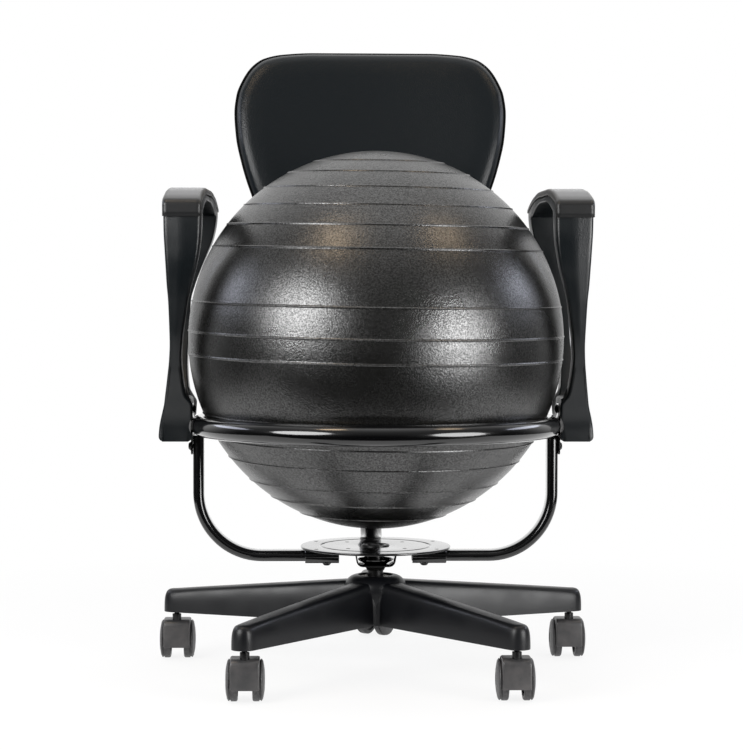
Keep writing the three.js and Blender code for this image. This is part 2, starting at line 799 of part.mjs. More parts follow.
function bushGeometry() {
  const outer = columnTubeDiameter / 2 - columnTubeWall - seatGap;
  const inner = spindleRadius + turnGap;
  const seat = hubTop - hubRecessDepth;
  const low = spindleBottom + bushFlange;
  return closedTurned([
    [inner, low],
    [outer, low],
    [outer, seat],
    [bushFlangeDiameter / 2, seat],
    [bushFlangeDiameter / 2, seat + bushFlange],
    [inner, seat + bushFlange],
  ], columnFacets);
}

function bearingGeometry() {
  const outer = columnTubeDiameter / 2 - columnTubeWall - seatGap;
  const inner = spindleTailDiameter / 2 + turnGap;
  return closedTurned([
    [inner, bearingBottom],
    [outer, bearingBottom],
    [outer, bearingBottom + bearingThickness],
    [inner, bearingBottom + bearingThickness],
  ], columnFacets);
}

function taperGeometry() {
  const top = saddleBottom - seatGap;
  return closedTurned([
    [spindleRadius + seatGap, top - taperHeight],
    [taperBottomDiameter / 2, top - taperHeight],
    [taperTopDiameter / 2, top],
    [spindleRadius + seatGap, top],
  ], columnFacets);
}

// One section of a star arm: flat sides and a rounded crown
function armSection(distance, halfWidth, low, high) {
  const sideShares = [[1, 0], [0.94, 0.62], [0.76, 0.9], [0.34, 1]];
  const right = sideShares.map(([w, h]) => [halfWidth * w, low + (high - low) * h]);
  const left = right.map(([w, z]) => [-w, z]).reverse();
  return [...right, ...left].map(([w, z]) => [w, distance, z]);
}

// The moulded star base: hub, hollow-bottomed arms with ribs, and round tips
function starGeometry() {
  const bore = columnTubeDiameter / 2 + seatGap;
  const hubRadius = hubDiameter / 2;
  const crown = hubCrownDiameter / 2;
  const drop = hubTop - hubShoulder;
  const domeSteps = 3;
  const dome = [];
  for (let i = 0; i <= domeSteps; i += 1) {
    const angle = (Math.PI / 2) * (i / domeSteps);
    dome.push([crown + (hubRadius - crown) * Math.cos(angle), hubShoulder + drop * Math.sin(angle)]);
  }
  const hub = closedTurned([
    [bore, hubBottom],
    [hubFootDiameter / 2, hubBottom],
    ...dome,
    [hubRecessDiameter / 2, hubTop],
    [hubRecessDiameter / 2, hubTop - hubRecessDepth],
    [bore, hubTop - hubRecessDepth],
  ], hubFacets);
  const tipRadius = tipDiameter / 2;
  const tipSteps = 2;
  const tipDome = [];
  for (let i = 0; i <= tipSteps; i += 1) {
    const angle = (Math.PI / 2) * (i / tipSteps);
    const r = tipRadius - tipShoulder + tipShoulder * Math.cos(angle);
    tipDome.push([r, tipTop - tipShoulder + tipShoulder * Math.sin(angle)]);
  }
  const tipPoints = [[0, tipBottom], [tipRadius, tipBottom], ...tipDome, [0, tipTop]];
  const armLength = stemCircleRadius + tipOverhang;
  const level = (share, root, tip) => root + (tip - root) * share;
  const width = (share) => level(share, armRootWidth / 2, tipRadius);
  const floor = (share) => level(share, armRootBottom, tipBottom);
  const crest = (share) => level(share, armRootTop, tipTop);
  const sharesOut = [0, 0.5, 1];
  const place = (share) => armRootRadius + (armLength - armRootRadius) * share;
  const section = (share) => armSection(place(share), width(share), floor(share), crest(share));
  const arm = loft(sharesOut.map(section));
  const pocketTopShare = 0.72;
  const pocketFrom = hubDiameter / 2 + starWall;
  const pocketTo = stemCircleRadius - tipRadius;
  const bay = (pocketTo - pocketFrom - starRibs * starRibGauge) / (starRibs + 1);
  const pocketSection = (distance) => {
    const share = (distance - armRootRadius) / (armLength - armRootRadius);
    const low = floor(share) - overrun;
    const high = crest(share) - starWall - tipShoulder / 2;
    const half = width(share) - starWall;
    const narrow = half * pocketTopShare;
    return [[-half, low], [half, low], [narrow, high], [-narrow, high]]
      .map(([w, z]) => [w, distance, z]);
  };
  let body = solid(hub);
  const stemHole = rodZ(gripRingDiameter / 2 + seatGap, tipBottom - overrun,
    tipBottom + stemLength + seatGap, rodSides);
  stemHole.translate(0, stemCircleRadius, 0);
  for (let i = 0; i < starArms; i += 1) {
    const spin = (geometry) => solid(geometry.clone().rotateZ((2 * Math.PI * i) / starArms));
    body = body.add(spin(arm));
    body = body.add(spin(turned(tipPoints, rodSides).translate(0, armLength, 0)));
    for (let k = 0; k <= starRibs; k += 1) {
      const from = pocketFrom + k * (bay + starRibGauge);
      body = body.subtract(spin(loft([pocketSection(from), pocketSection(from + bay)])));
    }
    body = body.subtract(spin(stemHole));
  }
  const through = rodZ(bore, hubBottom - overrun, hubTop + overrun, columnFacets);
  const recess = rodZ(hubRecessDiameter / 2, hubTop - hubRecessDepth, hubTop + overrun, hubFacets);
  return geometryOf(body.subtract(solid(through)).subtract(solid(recess)));
}

// One half of a twin wheel, its axle along X, with the bulging cap outside
function wheelGeometry(side) {
  const inner = wheelGap / 2;
  const tread = inner + treadWidth;
  const cap = tread + wheelBulge;
  const bore = casterAxleDiameter / 2 + turnGap;
  const boreDepth = inner + casterAxleEnd + casterAxleEndGap;
  const capShare = 0.55;
  const shape = [
    [0, boreDepth],
    [bore, boreDepth],
    [bore, inner],
    [wheelVertexRadius, inner],
    [wheelVertexRadius, tread],
    [wheelVertexRadius - wheelEdge, tread + wheelBulge / 2],
    [wheelVertexRadius * capShare, cap],
    [0, cap],
  ];
  const geometry = turned(shape, wheelFacets, Math.PI / wheelFacets);
  geometry.rotateY((side * Math.PI) / 2);
  return geometry.translate(0, casterTrail, wheelRadius);
}

function axleGeometry() {
  const reach = wheelGap / 2 + casterAxleEnd;
  return rodX(casterAxleDiameter / 2, -reach, reach, casterTrail, wheelRadius, boltSides);
}

// The hood: a squared nose round the stem, a round top over the wheels, a centre web
function hoodGeometry() {
  const top = wheelRadius + hoodRadius;
  const nose = -hoodNose;
  const tailDrop = wheelRadius - hoodSkirt;
  const outline = [
    [casterTrail + hoodHeel, hoodSkirt],
    [casterTrail + hoodRadius - tailDrop, hoodSkirt + tailDrop / 2],
    ...arc(casterTrail, wheelRadius, hoodRadius, hoodTail, Math.PI / 2, 4),
    ...arc(nose + hoodCorner, top - hoodCorner, hoodCorner, Math.PI / 2, Math.PI, 2),
    [nose, hoodSkirt],
  ];
  const half = hoodWidth / 2;
  const web = wheelGap / 2 - webGap;
  const pocket = (low, high) => rodX(hoodPocketRadius, low, high, casterTrail, wheelRadius,
    wheelFacets);
  const axleHole = rodX(casterAxleDiameter / 2 + turnGap, -half, half, casterTrail, wheelRadius);
  const neck = rodZ(casterNeckDiameter / 2, top - overrun, neckTop, rodSides);
  const stemHole = rodZ(stemFootDiameter / 2 + turnGap, neckTop - casterNeckHeight - stemFootDepth,
    neckTop + overrun);
  const body = join(slabX(outline, -half, half), neck);
  return cut(body, pocket(-half - overrun, -web), pocket(web, half + overrun), axleHole, stemHole);
}

// The grip-ring stem: pressed into the star arm, the hood turns on its foot
function stemGeometry() {
  const foot = neckTop - casterNeckHeight - stemFootDepth + turnGap;
  const radius = stemDiameter / 2;
  const waist = stemWaistDiameter / 2;
  const top = tipBottom + stemLength;
  const gripLow = top - gripRingDrop;
  return turned([
    [0, foot],
    [stemFootDiameter / 2, foot],
    [stemFootDiameter / 2, neckTop],
    [waist, (neckTop + tipBottom) / 2],
    [radius, tipBottom],
    [radius, gripLow],
    [gripRingDiameter / 2, gripLow + gripRingHeight / 2],
    [radius, gripLow + gripRingHeight],
    [radius - stemChamfer, top],
    [0, top],
  ], boltSides);
}

// Half-widths of an armrest against height: height share, inner and outer share at the
// front, inner and outer share at the rear, as shares of the way from top to foot faces
const armFlareShares = [
  [0, 0.315, 1, 0.315, 1],
  [0.067, 0.315, 0.83, 0.315, 0.83],
  [0.155, 0.3, 0.316, 0.3, 0.316],
  [0.194, 0.475, 0.18, 0.475, 0.15],
  [0.27, 0.551, -0.111, 0.551, -0.15],
  [0.348, 0.585, -0.37, 0.57, -0.4],
  [0.424, 0.535, -0.47, 0.56, -0.55],
  [0.503, 0.445, -0.45, 0.555, -0.58],
  [0.578, 0.355, -0.41, 0.55, -0.58],
  [0.65, 0.245, -0.28, 0.435, -0.56],
  [0.72, 0.126, -0.2, 0.26, -0.55],
  [0.793, 0.046, -0.11, 0.05, -0.53],
  [0.862, 0.012, -0.03, -0.128, -0.5],
  [0.959, 0, 0, -0.2235, -0.5],
  [1.05, 0, 0, -0.2235, -0.5],
];

// The arch of the armrest top, from its flat crest to one end: reach share, drop share
const archShares = [
  [0.26, 0],
  [0.6, 0.24],
  [0.86, 0.66],
  [1, 1],
];

// The armrest loop seen from the side: reach share forward or back, and height share
const loopSideShares = [
  [0, 0],
  [0.02, 0.06],
  [0.16, 0.16],
  [0.42, 0.3],
  [0.66, 0.45],
  [0.86, 0.62],
  [0.97, 0.78],
  [1, 0.9],
];

// One armrest: the side view of the loop cut to the front view of the strut
function armrestGeometry(side) {
  const tall = armFlareTop - armBottom;
  const level = (share) => armBottom + tall * share;
  const half = (reach) => loopSideShares.map(([s, h]) => [
    armFootReach + (reach - armFootReach) * s, level(h)]);
  const crown = (reach) => archShares.map(([y, drop]) => [reach * y, armCrest - archDrop * drop])
    .reverse();
  const rear = [...half(armRearReach), ...crown(armRearReach)];
  const front = [...half(armFrontReach), ...crown(armFrontReach)].map(([y, z]) => [-y, z]);
  const outer = [...rear, ...front.reverse()];
  const openSide = (reach) => {
    const points = half(reach).filter(([, z]) => z > armOpeningFloor + armOpeningCorner);
    const ceiling = archShares.map(([y, drop]) => [
      (reach - armStrutDepth) * y, armCrest - armBarDepth - archDrop * drop]);
    return [[armFootReach - armStrutDepth / 2, armOpeningFloor],
      ...points.map(([y, z]) => [y - armStrutDepth, z]), ...ceiling.reverse()];
  };
  const openRear = openSide(armRearReach);
  const openFront = openSide(armFrontReach).map(([y, z]) => [-y, z]);
  const hole = [...openRear, ...openFront.reverse()];
  const widest = armOuterFoot + overrun;
  const narrowest = armInnerTop - armTopWidth / 2;
  const loop = slabX(outer, narrowest, widest, hole);
  const ring = (y, inShare, outShare) => {
    const inner = armFlareShares.map((row) => [armInnerTop + armTopWidth * row[inShare], y, level(row[0])]);
    const outerSide = armFlareShares.map((row) => [
      armOuterTop + armFootFlare * row[outShare], y, level(row[0])]);
    return [...inner, ...outerSide.reverse()];
  };
  const frontRing = ring(-armFrontReach - overrun, 1, 2);
  const rearRing = ring(armRearReach + overrun, 3, 4);
  const slab = ruledSlab(frontRing, rearRing);
  const notch = new THREE.TorusGeometry(ringRadius, ringTubeRadius + ringNotchGap, tubeSides, ballFacets);
  notch.translate(0, 0, ringHeight);
  const pocketHalf = plateWidth / 2 + seatGap;
  const pocketFace = ringRadius + ringPlateInset + plateGauge + seatGap;
  const pocket = box(narrowest, pocketFace, -pocketHalf, pocketHalf, armBottom - overrun,
    ringHeight + plateRise + seatGap);
  const boltHole = rodX(boltHoleRadius, narrowest, pocketFace + armBoltLength, 0, ringHeight + armBoltRise);
  const tubeHalf = barWidth / 2 + slideGap;
  const tubeFace = sideBarRadius + barDepth / 2 + slideGap;
  const tubeWay = box(narrowest, tubeFace, -tubeHalf, tubeHalf, armBottom - overrun, ringHeight);
  const body = cut(common(loop, slab), notch, pocket, tubeWay, boltHole);
  return side < 0 ? mirroredX(body) : body;
}

// A slab between two flat outlines in (X, Z) with as many points each, front then rear
function ruledSlab(front, rear) {
  const count = front.length;
  const flatOf = (ring) => ring.map(([x, , z]) => new THREE.Vector2(x, z));
  const clockwise = THREE.ShapeUtils.area(flatOf(front)) < 0;
  const near = clockwise ? [...front].reverse() : front;
  const far = clockwise ? [...rear].reverse() : rear;
  const nearCaps = THREE.ShapeUtils.triangulateShape(flatOf(near), []);
  const farCaps = THREE.ShapeUtils.triangulateShape(flatOf(far), []);
  const faces = [];
  for (const [a, b, c] of nearCaps) faces.push(a, b, c);
  for (const [a, b, c] of farCaps) faces.push(a + count, c + count, b + count);
  for (let i = 0; i < count; i += 1) {
    const j = (i + 1) % count;
    faces.push(i, i + count, j + count, i, j + count, j);
  }
  const geometry = new THREE.BufferGeometry();
  geometry.setAttribute('position', new THREE.Float32BufferAttribute([...near, ...far].flat(), 3));
  geometry.setIndex(faces);
  return geometry;
}

function mirroredX(geometry) {
  const points = geometry.attributes.position;
  for (let i = 0; i < points.count; i += 1) points.setX(i, -points.getX(i));
  geometry.index.array.reverse();
  geometry.computeVertexNormals();
  return geometry;
}

// The soft pad on the armrest, with its nose turned down over the front of the loop
function armPadGeometry(side) {
  const [, , , innerShare, outerShare] = armFlareShares[armFlareShares.length - 1];
  const section = (y, low, top) => {
    const toRear = (y + armFrontReach) / (armFrontReach + armRearReach);
    const inner = armInnerTop + armTopWidth * innerShare * toRear - padOverhang;
    const outer = armOuterTop + armFootFlare * outerShare * toRear + padOverhang;
    return [
      [inner, y, low],
      [outer, y, low],
      [outer, y, top - padEdge],
      [outer - padEdge, y, top],
      [inner + padEdge, y, top],
      [inner, y, top - padEdge],
    ];
  };
  const along = (reach) => archShares.map(([y, drop]) => {
    const low = armCrest - archDrop * drop + seatGap;
    return [reach * y, low, low + padThickness];
  });
  const front = along(-armFrontReach).reverse();
  const lead = [-armFrontReach - padNoseDepth / 2, front[0][1], front[0][2]];
  const stations = [lead, ...front, ...along(armRearReach)];
  const endLow = front[0][1];
  const endTop = front[0][2];
  const noseFace = -armFrontReach - padNoseDepth;
  const nose = [
    section(noseFace, endLow - padLip + padEdge, endTop - padEdge),
    section(noseFace + padEdge, endLow - padLip, endTop),
    section(-armFrontReach - seatGap, endLow - padLip, endTop),
  ];
  const top = loft(stations.map(([y, low, high]) => section(y, low, high)));
  const pad = join(top, loft(nose));
  return side < 0 ? mirroredX(pad) : pad;
}

// The outline of the back: half-width share and height share, from bottom to top centre
const backOutlineShares = [
  [0, 0],
  [0.36, 0.004],
  [0.64, 0.04],
  [0.8, 0.14],
  [0.89, 0.28],
  [0.955, 0.42],
  [0.993, 0.58],
  [1, 0.72],
  [0.955, 0.86],
  [0.83, 0.95],
  [0.6, 0.99],
  [0, 1],
];

// Points round the back's outline, as offsets from its middle
function backOutline() {
  const half = backWidth / 2;
  const right = backOutlineShares.map(([w, h]) => [half * w, backHeight * (h - 0.5)]);
  const left = right.slice(1, -1).map(([x, z]) => [-x, z]).reverse();
  const curve = new THREE.CatmullRomCurve3(
    [...right, ...left].map(([x, z]) => new THREE.Vector3(x, 0, z)), true, 'centripetal');
  return curve.getSpacedPoints(panelSides).slice(0, panelSides).map((p) => [p.x, p.z]);
}

// The bent sheet that the back follows: the sides come forward and the lumbar swells
function backSheet(x, z) {
  const wrap = backWrap * (x / (backWidth / 2)) ** 2;
  const swell = Math.exp(-(((z + lumbarDrop) / lumbarSpread) ** 2));
  return -wrap - backLumbar * swell;
}

// A closed panel on the bent sheet, from rings of (scale, offset towards the sitter)
function panel(rings) {
  const outline = backOutline();
  const points = [];
  const faces = [];
  const put = (x, z, forward) => points.push(x, backSheet(x, z) - forward, z);
  put(0, 0, rings[0][1]);
  const inside = rings.slice(1, -1);
  for (const [scale, forward] of inside) {
    for (const [x, z] of outline) put(x * scale, z * scale, forward);
  }
  put(0, 0, rings[rings.length - 1][1]);
  const last = 1 + inside.length * panelSides;
  for (let i = 0; i < panelSides; i += 1) {
    const j = (i + 1) % panelSides;
    faces.push(0, 1 + i, 1 + j);
    for (let r = 0; r + 1 < inside.length; r += 1) {
      const a = 1 + r * panelSides;
      const b = a + panelSides;
      const inward = inside[r][0] >= inside[r + 1][0];
      const halves = inward ? [a + i, b + i, b + j, a + i, b + j, a + j]
        : [a + i, b + i, a + j, a + j, b + i, b + j];
      faces.push(...halves);
    }
    const rim = last - panelSides;
    faces.push(rim + i, last, rim + j);
  }
  const geometry = new THREE.BufferGeometry();
  geometry.setAttribute('position', new THREE.Float32BufferAttribute(points, 3));
  geometry.setIndex(faces);
  return geometry;
}

// Scales of the rings where the pad's flat back lies on the shell
const backingShares = [0.92, 0.5];

// The back pad: crowned front, sides drawn in to the shell
function backPadGeometry() {
  const edge = 1 - shellRim / (backWidth / 2);
  const crownShares = [
    [0, 1], [0.4, 0.98], [0.68, 0.9], [0.86, 0.76], [0.955, 0.54], [1, 0.3], [0.985, 0.08],
  ];
  const front = crownShares.map(([s, d]) => [s * edge, seatGap + padDepth * d]);
  const rear = [...backingShares, 0].map((s) => [s, seatGap]);
  return panel([...front, ...rear]);
}

// The moulded shell behind the pad, its rim standing round the pad's edge, with a flat
// boss behind that the bracket is screwed to
function backShellGeometry() {
  const rim = 1 - (shellRim - seatGap) / (backWidth / 2);
  const front = [0, ...[...backingShares].reverse()].map((s) => [s, 0]);
  const back = [...backingShares, 0].map((s) => [s, -shellGauge]);
  const shell = panel([...front, [rim, 0], [rim, shellLip], [1, shellLip], [1, -shellGauge / 2], ...back]);
  const bossFront = [0, ...[...backingShares].reverse()].map((s) => [s, -shellGauge / 2]);
  const bossRear = [...backingShares, 0].map((s) => [s, -backWrap - backLumbar - shellGauge]);
  const half = bracketFlangeWidth / 2 - bossMargin;
  const tall = bracketHeight / 2 - bossMargin;
  const centre = bracketCentreHeight - backCentreHeight;
  const block = box(-half, half, -backWrap, shellGauge, centre - tall, centre + tall);
  return join(shell, common(panel([...bossFront, ...bossRear]), block));
}

// The sleeve that slides on the rear bar, with the flange screwed to the shell
function bracketGeometry() {
  const clear = slideGap + bracketWall;
  const swap = ([a, b]) => [b, a];
  const outer = oval(barWidth + 2 * clear, barDepth + 2 * clear).map(swap);
  const bore = oval(barWidth + 2 * slideGap, barDepth + 2 * slideGap).map(swap);
  const half = bracketHeight / 2;
  const front = -(barDepth / 2 + clear);
  const flangeHalf = bracketFlangeWidth / 2;
  const flange = box(-flangeHalf, flangeHalf, front - bracketFlangeGauge, front + bracketWall,
    -half, half);
  const sleeve = slabZ(outer.reverse(), -half, half);
  const barWay = slabZ(bore.reverse(), -half - overrun, half + overrun);
  const screwHole = rodY(knobScrewDiameter / 2 + turnGap, 0, -front + overrun, 0, 0);
  return cut(join(sleeve, flange), barWay, screwHole);
}

// The lobed clamping knob with its screw, behind the bracket
function knobGeometry() {
  const rearFace = barDepth / 2 + slideGap + bracketWall;
  const start = rearFace + knobStandoff;
  const radius = knobDiameter / 2;
  const pointsPerLobe = 6;
  const outline = [];
  for (let i = 0; i < knobLobes * pointsPerLobe; i += 1) {
    const angle = (2 * Math.PI * i) / (knobLobes * pointsPerLobe);
    const r = radius - knobLobeDepth * (1 - Math.cos(knobLobes * angle)) / 2;
    outline.push([r * Math.cos(angle), r * Math.sin(angle)]);
  }
  const grip = slabY(outline, start, start + knobLength);
  const screw = rodY(knobScrewDiameter / 2, barDepth / 2 + seatGap, start + overrun, 0, 0);
  return join(grip, screw);
}

// Assembly
function buildCaster(index) {
  const caster = new THREE.Group();
  const name = `caster_${index + 1}`;
  const angle = -Math.PI / 2 + ((index + 0.5) * 2 * Math.PI) / starArms;
  caster.position.set(stemCircleRadius * Math.cos(angle), stemCircleRadius * Math.sin(angle), 0);
  caster.rotation.z = casterTurns[index];
  caster.add(blackSteel(`${name}_stem`, stemGeometry()));
  caster.add(greyNylon(`${name}_hood`, hoodGeometry()));
  caster.add(zincSteel(`${name}_axle`, axleGeometry()));
  caster.add(greyNylon(`${name}_wheel_left`, wheelGeometry(-1)));
  caster.add(greyNylon(`${name}_wheel_right`, wheelGeometry(1)));
  return caster;
}

function buildBase() {
  const base = new THREE.Group();
  base.add(satinNylon('star_base', starGeometry()));
  base.add(blackSteel('column_tube', columnTubeGeometry()));
  base.add(acetal('guide_bush', bushGeometry()));
  base.add(zincSteel('thrust_bearing', bearingGeometry()));
  for (let i = 0; i < starArms; i += 1) base.add(buildCaster(i));
  return base;
}

function buildFrame() {
  const frame = new THREE.Group();
  frame.add(blackSteel('spindle', spindleGeometry()));
  frame.add(zincSteel('retaining_clip', clipGeometry()));
  frame.add(blackSteel('taper_collar', taperGeometry()));
  frame.add(blackSteel('centre_ring', centreRingGeometry()));
  frame.add(blackSteel('saddle_bracket', saddleGeometry()));
  frame.add(glossBlack('seat_plate', seatPlateGeometry()));
  const turns = { right: 0, rear: Math.PI / 2, left: Math.PI };
  for (const [place, turn] of Object.entries(turns)) {
    frame.add(glossBlack(`tube_socket_${place}`, socketGeometry().rotateZ(turn)));
    frame.add(blackSteel(`socket_bolt_${place}`, socketBoltGeometry().rotateZ(turn)));
  }
  frame.add(glossBlack('side_tube_left', sideTubeGeometry(-1)));
  frame.add(glossBlack('side_tube_right', sideTubeGeometry(1)));
  frame.add(glossBlack('rear_tube', rearTubeGeometry()));
  frame.add(glossBlack('ball_ring', ringGeometry()));
  const plateFace = ringRadius + ringPlateInset + plateGauge + seatGap;
  const rearFace = rearBarRadius + barDepth / 2 + seatGap;
  const boltDown = ringHeight - ringBoltDrop;
  const rearShank = frameBoltLength + barDepth;
  const along = {
    left: buttonBolt(frameBoltLength).rotateY(-Math.PI / 2).translate(-plateFace, 0, boltDown),
    right: buttonBolt(frameBoltLength).rotateY(Math.PI / 2).translate(plateFace, 0, boltDown),
    rear: buttonBolt(rearShank).rotateX(-Math.PI / 2).translate(0, rearFace, boltDown),
  };
  for (const [place, geometry] of Object.entries(along)) {
    frame.add(blackSteel(`ring_bolt_${place}`, geometry));
  }
  return frame;
}

function buildArmrests() {
  const armrests = new THREE.Group();
  const headFace = ringRadius + ringPlateInset - seatGap;
  for (const [place, side] of [['left', -1], ['right', 1]]) {
    armrests.add(blackPlastic(`armrest_${place}`, armrestGeometry(side)));
    armrests.add(softGrip(`armrest_pad_${place}`, armPadGeometry(side)));
    const bolt = buttonBolt(armBoltLength).rotateY((-side * Math.PI) / 2);
    bolt.translate(side * headFace, 0, ringHeight + armBoltRise);
    armrests.add(blackSteel(`armrest_bolt_${place}`, bolt));
  }
  return armrests;
}

function buildBall() {
  const ball = new THREE.Group();
  ball.position.z = ringHeight + ballRise;
  ball.add(ballVinyl('exercise_ball', ballGeometry()));
  ball.add(ballVinyl('ball_plug', plugGeometry()));
  return ball;
}

// The back group stands on the leaning end of the rear bar, its Z along the bar
function buildBack() {
  const back = new THREE.Group();
  const rise = bracketCentreHeight - rearLeanEnd;
  back.position.set(0, rearBarRadius + rearLeanReach + rise * Math.tan(backLean), bracketCentreHeight);
  back.rotation.x = -backLean;
  back.add(blackSteel('back_bracket', bracketGeometry()));
  back.add(blackPlastic('back_knob', knobGeometry()));
  const panels = new THREE.Group();
  const flangeFront = barDepth / 2 + slideGap + bracketWall + bracketFlangeGauge;
  const middle = backCentreHeight - bracketCentreHeight;
  panels.position.set(0, -flangeFront - seatGap - shellGauge, middle / Math.cos(backLean));
  panels.add(blackPlastic('back_shell', backShellGeometry()));
  panels.add(leatherette('back_pad', backPadGeometry()));
  back.add(panels);
  return back;
}

const seat = new THREE.Group();
seat.add(buildFrame(), buildArmrests(), buildBall(), buildBack());

// The chair stands on the floor with the middle of its length and width on the origin
const chair = new THREE.Group();
const standing = new THREE.Group();
standing.add(buildBase(), seat);
chair.add(standing);
chair.updateMatrixWorld(true);
const bounds = new THREE.Box3().setFromObject(chair, true);
standing.position.y = -(bounds.min.y + bounds.max.y) / 2;
chair.updateMatrixWorld(true);

export default chair;
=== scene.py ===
# Balance ball chair, dressed: an inflated exercise ball on a steel ring, loop armrests, a
# small padded back on a rear tube, and a five-star base on twin-wheel casters.
# Metres, +Z up, the sitter faces -Y. The sections follow the chair from the floor up.

import math

import bmesh
import bpy
import numpy as np
from mathutils import Matrix, Vector


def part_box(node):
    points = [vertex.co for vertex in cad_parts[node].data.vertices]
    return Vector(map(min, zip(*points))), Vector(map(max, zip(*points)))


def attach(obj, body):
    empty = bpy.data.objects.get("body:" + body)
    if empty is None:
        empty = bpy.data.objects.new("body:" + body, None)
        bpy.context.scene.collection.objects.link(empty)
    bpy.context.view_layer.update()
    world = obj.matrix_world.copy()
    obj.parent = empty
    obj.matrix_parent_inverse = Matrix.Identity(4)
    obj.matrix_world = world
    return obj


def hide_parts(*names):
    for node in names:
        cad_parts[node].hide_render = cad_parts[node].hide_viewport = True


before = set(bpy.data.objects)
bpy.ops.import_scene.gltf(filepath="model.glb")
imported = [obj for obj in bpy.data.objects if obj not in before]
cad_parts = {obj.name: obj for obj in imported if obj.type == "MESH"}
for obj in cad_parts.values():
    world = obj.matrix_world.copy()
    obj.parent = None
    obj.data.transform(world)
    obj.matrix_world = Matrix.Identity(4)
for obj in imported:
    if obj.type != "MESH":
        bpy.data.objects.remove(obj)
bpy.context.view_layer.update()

MM = 0.001

# Camera
# The photograph was taken about 2.9 m in front of the chair, a little above its ring and a
# touch to the left. The place and the lens come from fitting that view to the chair's sizes.
hub_low, hub_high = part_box("column_tube")
axis_y = (hub_low.y + hub_high.y) / 2
camera_distance = 2891 * MM
camera_height = 516.8 * MM
camera_swing = 0.0309        # radians off the chair's centre plane
camera_aim = -0.0021         # radians from the line to the swivel axis
camera_pitch = 0.0359
camera_roll = 0.0020
focal_pixels = 2079.8
image_height = 750
camera_data = bpy.data.cameras.new("studio_camera")
camera_data.sensor_fit = "AUTO"
camera_data.sensor_width = 36
camera_data.lens = camera_data.sensor_width * focal_pixels / image_height
camera = bpy.data.objects.new("studio_camera", camera_data)
bpy.context.collection.objects.link(camera)
yaw = camera_swing + camera_aim
level_right = Vector((math.cos(yaw), -math.sin(yaw), 0))
look = Vector((math.sin(yaw) * math.cos(camera_pitch), math.cos(yaw) * math.cos(camera_pitch),
               -math.sin(camera_pitch)))
level_up = level_right.cross(look)
turn_right = level_right * math.cos(camera_roll) + level_up * math.sin(camera_roll)
turn_up = level_up * math.cos(camera_roll) - level_right * math.sin(camera_roll)
camera.matrix_world = Matrix((
    (turn_right.x, turn_up.x, -look.x, -camera_distance * math.sin(camera_swing)),
    (turn_right.y, turn_up.y, -look.y, axis_y - camera_distance * math.cos(camera_swing)),
    (turn_right.z, turn_up.z, -look.z, camera_height),
    (0, 0, 0, 1)))
bpy.context.scene.camera = camera
bpy.context.scene.view_settings.view_transform = "Standard"

# Star base
# One injection moulding in glass-filled nylon: a hub with five hollow-bottomed arms, ribs
# across each arm, and a round tip that holds a caster stem. The column tube sits in the hub.


def hex_linear(code):
    """A colour written as an sRGB hex value, turned to linear red, green, blue and alpha."""
    srgb = np.array([int(code[i:i + 2], 16) for i in (1, 3, 5)]) / 255
    light = np.where(srgb <= 0.04045, srgb / 12.92, ((srgb + 0.055) / 1.055) ** 2.4)
    return (*light, 1)


def start_finish(name, colour, **settings):
    """A new material whose Principled shader has this base colour and these socket values,
    then that shader, and the place on the piece that the textures read."""
    finish = bpy.data.materials.new(name)
    finish.use_nodes = True
    shader = finish.node_tree.nodes["Principled BSDF"]
    shader.inputs["Base Color"].default_value = hex_linear(colour)
    for socket, value in settings.items():
        shader.inputs[socket.replace("_", " ")].default_value = value
    place = add_node(finish.node_tree, "ShaderNodeTexCoord").outputs["Object"]
    return finish, shader, place


def add_node(tree, kind, links=None, **settings):
    """Add one shader node: settings are its properties or socket values, links feed sockets."""
    new = tree.nodes.new(kind)
    for name, value in settings.items():
        if hasattr(new, name):
            setattr(new, name, value)
        else:
            new.inputs[name.replace("_", " ")].default_value = value
    for socket, source in (links or {}).items():
        tree.links.new(source, new.inputs[socket])
    return new


def add_noise(place, size, detail, **settings):
    """The values of a noise whose features are about this size."""
    noise = add_node(place.id_data, "ShaderNodeTexNoise", {"Vector": place}, Scale=1 / size,
                     Detail=detail, **settings)
    return noise.outputs["Fac"]


def vary(shader, socket, source, low, high, least=0.3, most=0.7):
    """Drive a socket of the shader from low to high as the source goes from least to most."""
    spread = add_node(shader.id_data, "ShaderNodeMapRange", {"Value": source}, From_Min=least,
                      From_Max=most, To_Min=low, To_Max=high)
    shader.id_data.links.new(spread.outputs["Result"], shader.inputs[socket])


def emboss(shader, source, strength, depth):
    """Raise and sink the surface with the source, by a bump of this strength and depth."""
    bump = add_node(shader.id_data, "ShaderNodeBump", {"Height": source}, Strength=strength,
                    Distance=depth)
    shader.id_data.links.new(bump.outputs["Normal"], shader.inputs["Normal"])


def make_piece(name, finish, *grids, sharp=38):
    """One mesh from point grids of shape (rows, columns, 3). Quads join each point to the next
    in its row and in the next row, and doubled points at seams and poles become one."""
    faces, first = [], 0
    for grid in grids:
        rows, columns = grid.shape[:2]
        at = first + np.arange(rows * columns).reshape(rows, columns)
        quads = np.stack([at[:-1, :-1], at[:-1, 1:], at[1:, 1:], at[1:, :-1]], -1)
        faces.append(quads.reshape(-1, 4))
        first += rows * columns
    mesh = bpy.data.meshes.new(name)
    points = np.concatenate([grid.reshape(-1, 3) for grid in grids])
    mesh.from_pydata(points.tolist(), [], np.concatenate(faces).tolist())
    clean = bmesh.new()
    clean.from_mesh(mesh)
    bmesh.ops.remove_doubles(clean, verts=clean.verts, dist=0.002 * MM)
    bmesh.ops.recalc_face_normals(clean, faces=clean.faces)
    clean.to_mesh(mesh)
    clean.free()
    mesh.shade_smooth()
    mesh.set_sharp_from_angle(angle=math.radians(sharp))
    mesh.materials.append(finish)
    piece = bpy.data.objects.new(name, mesh)
    bpy.context.collection.objects.link(piece)
    return piece


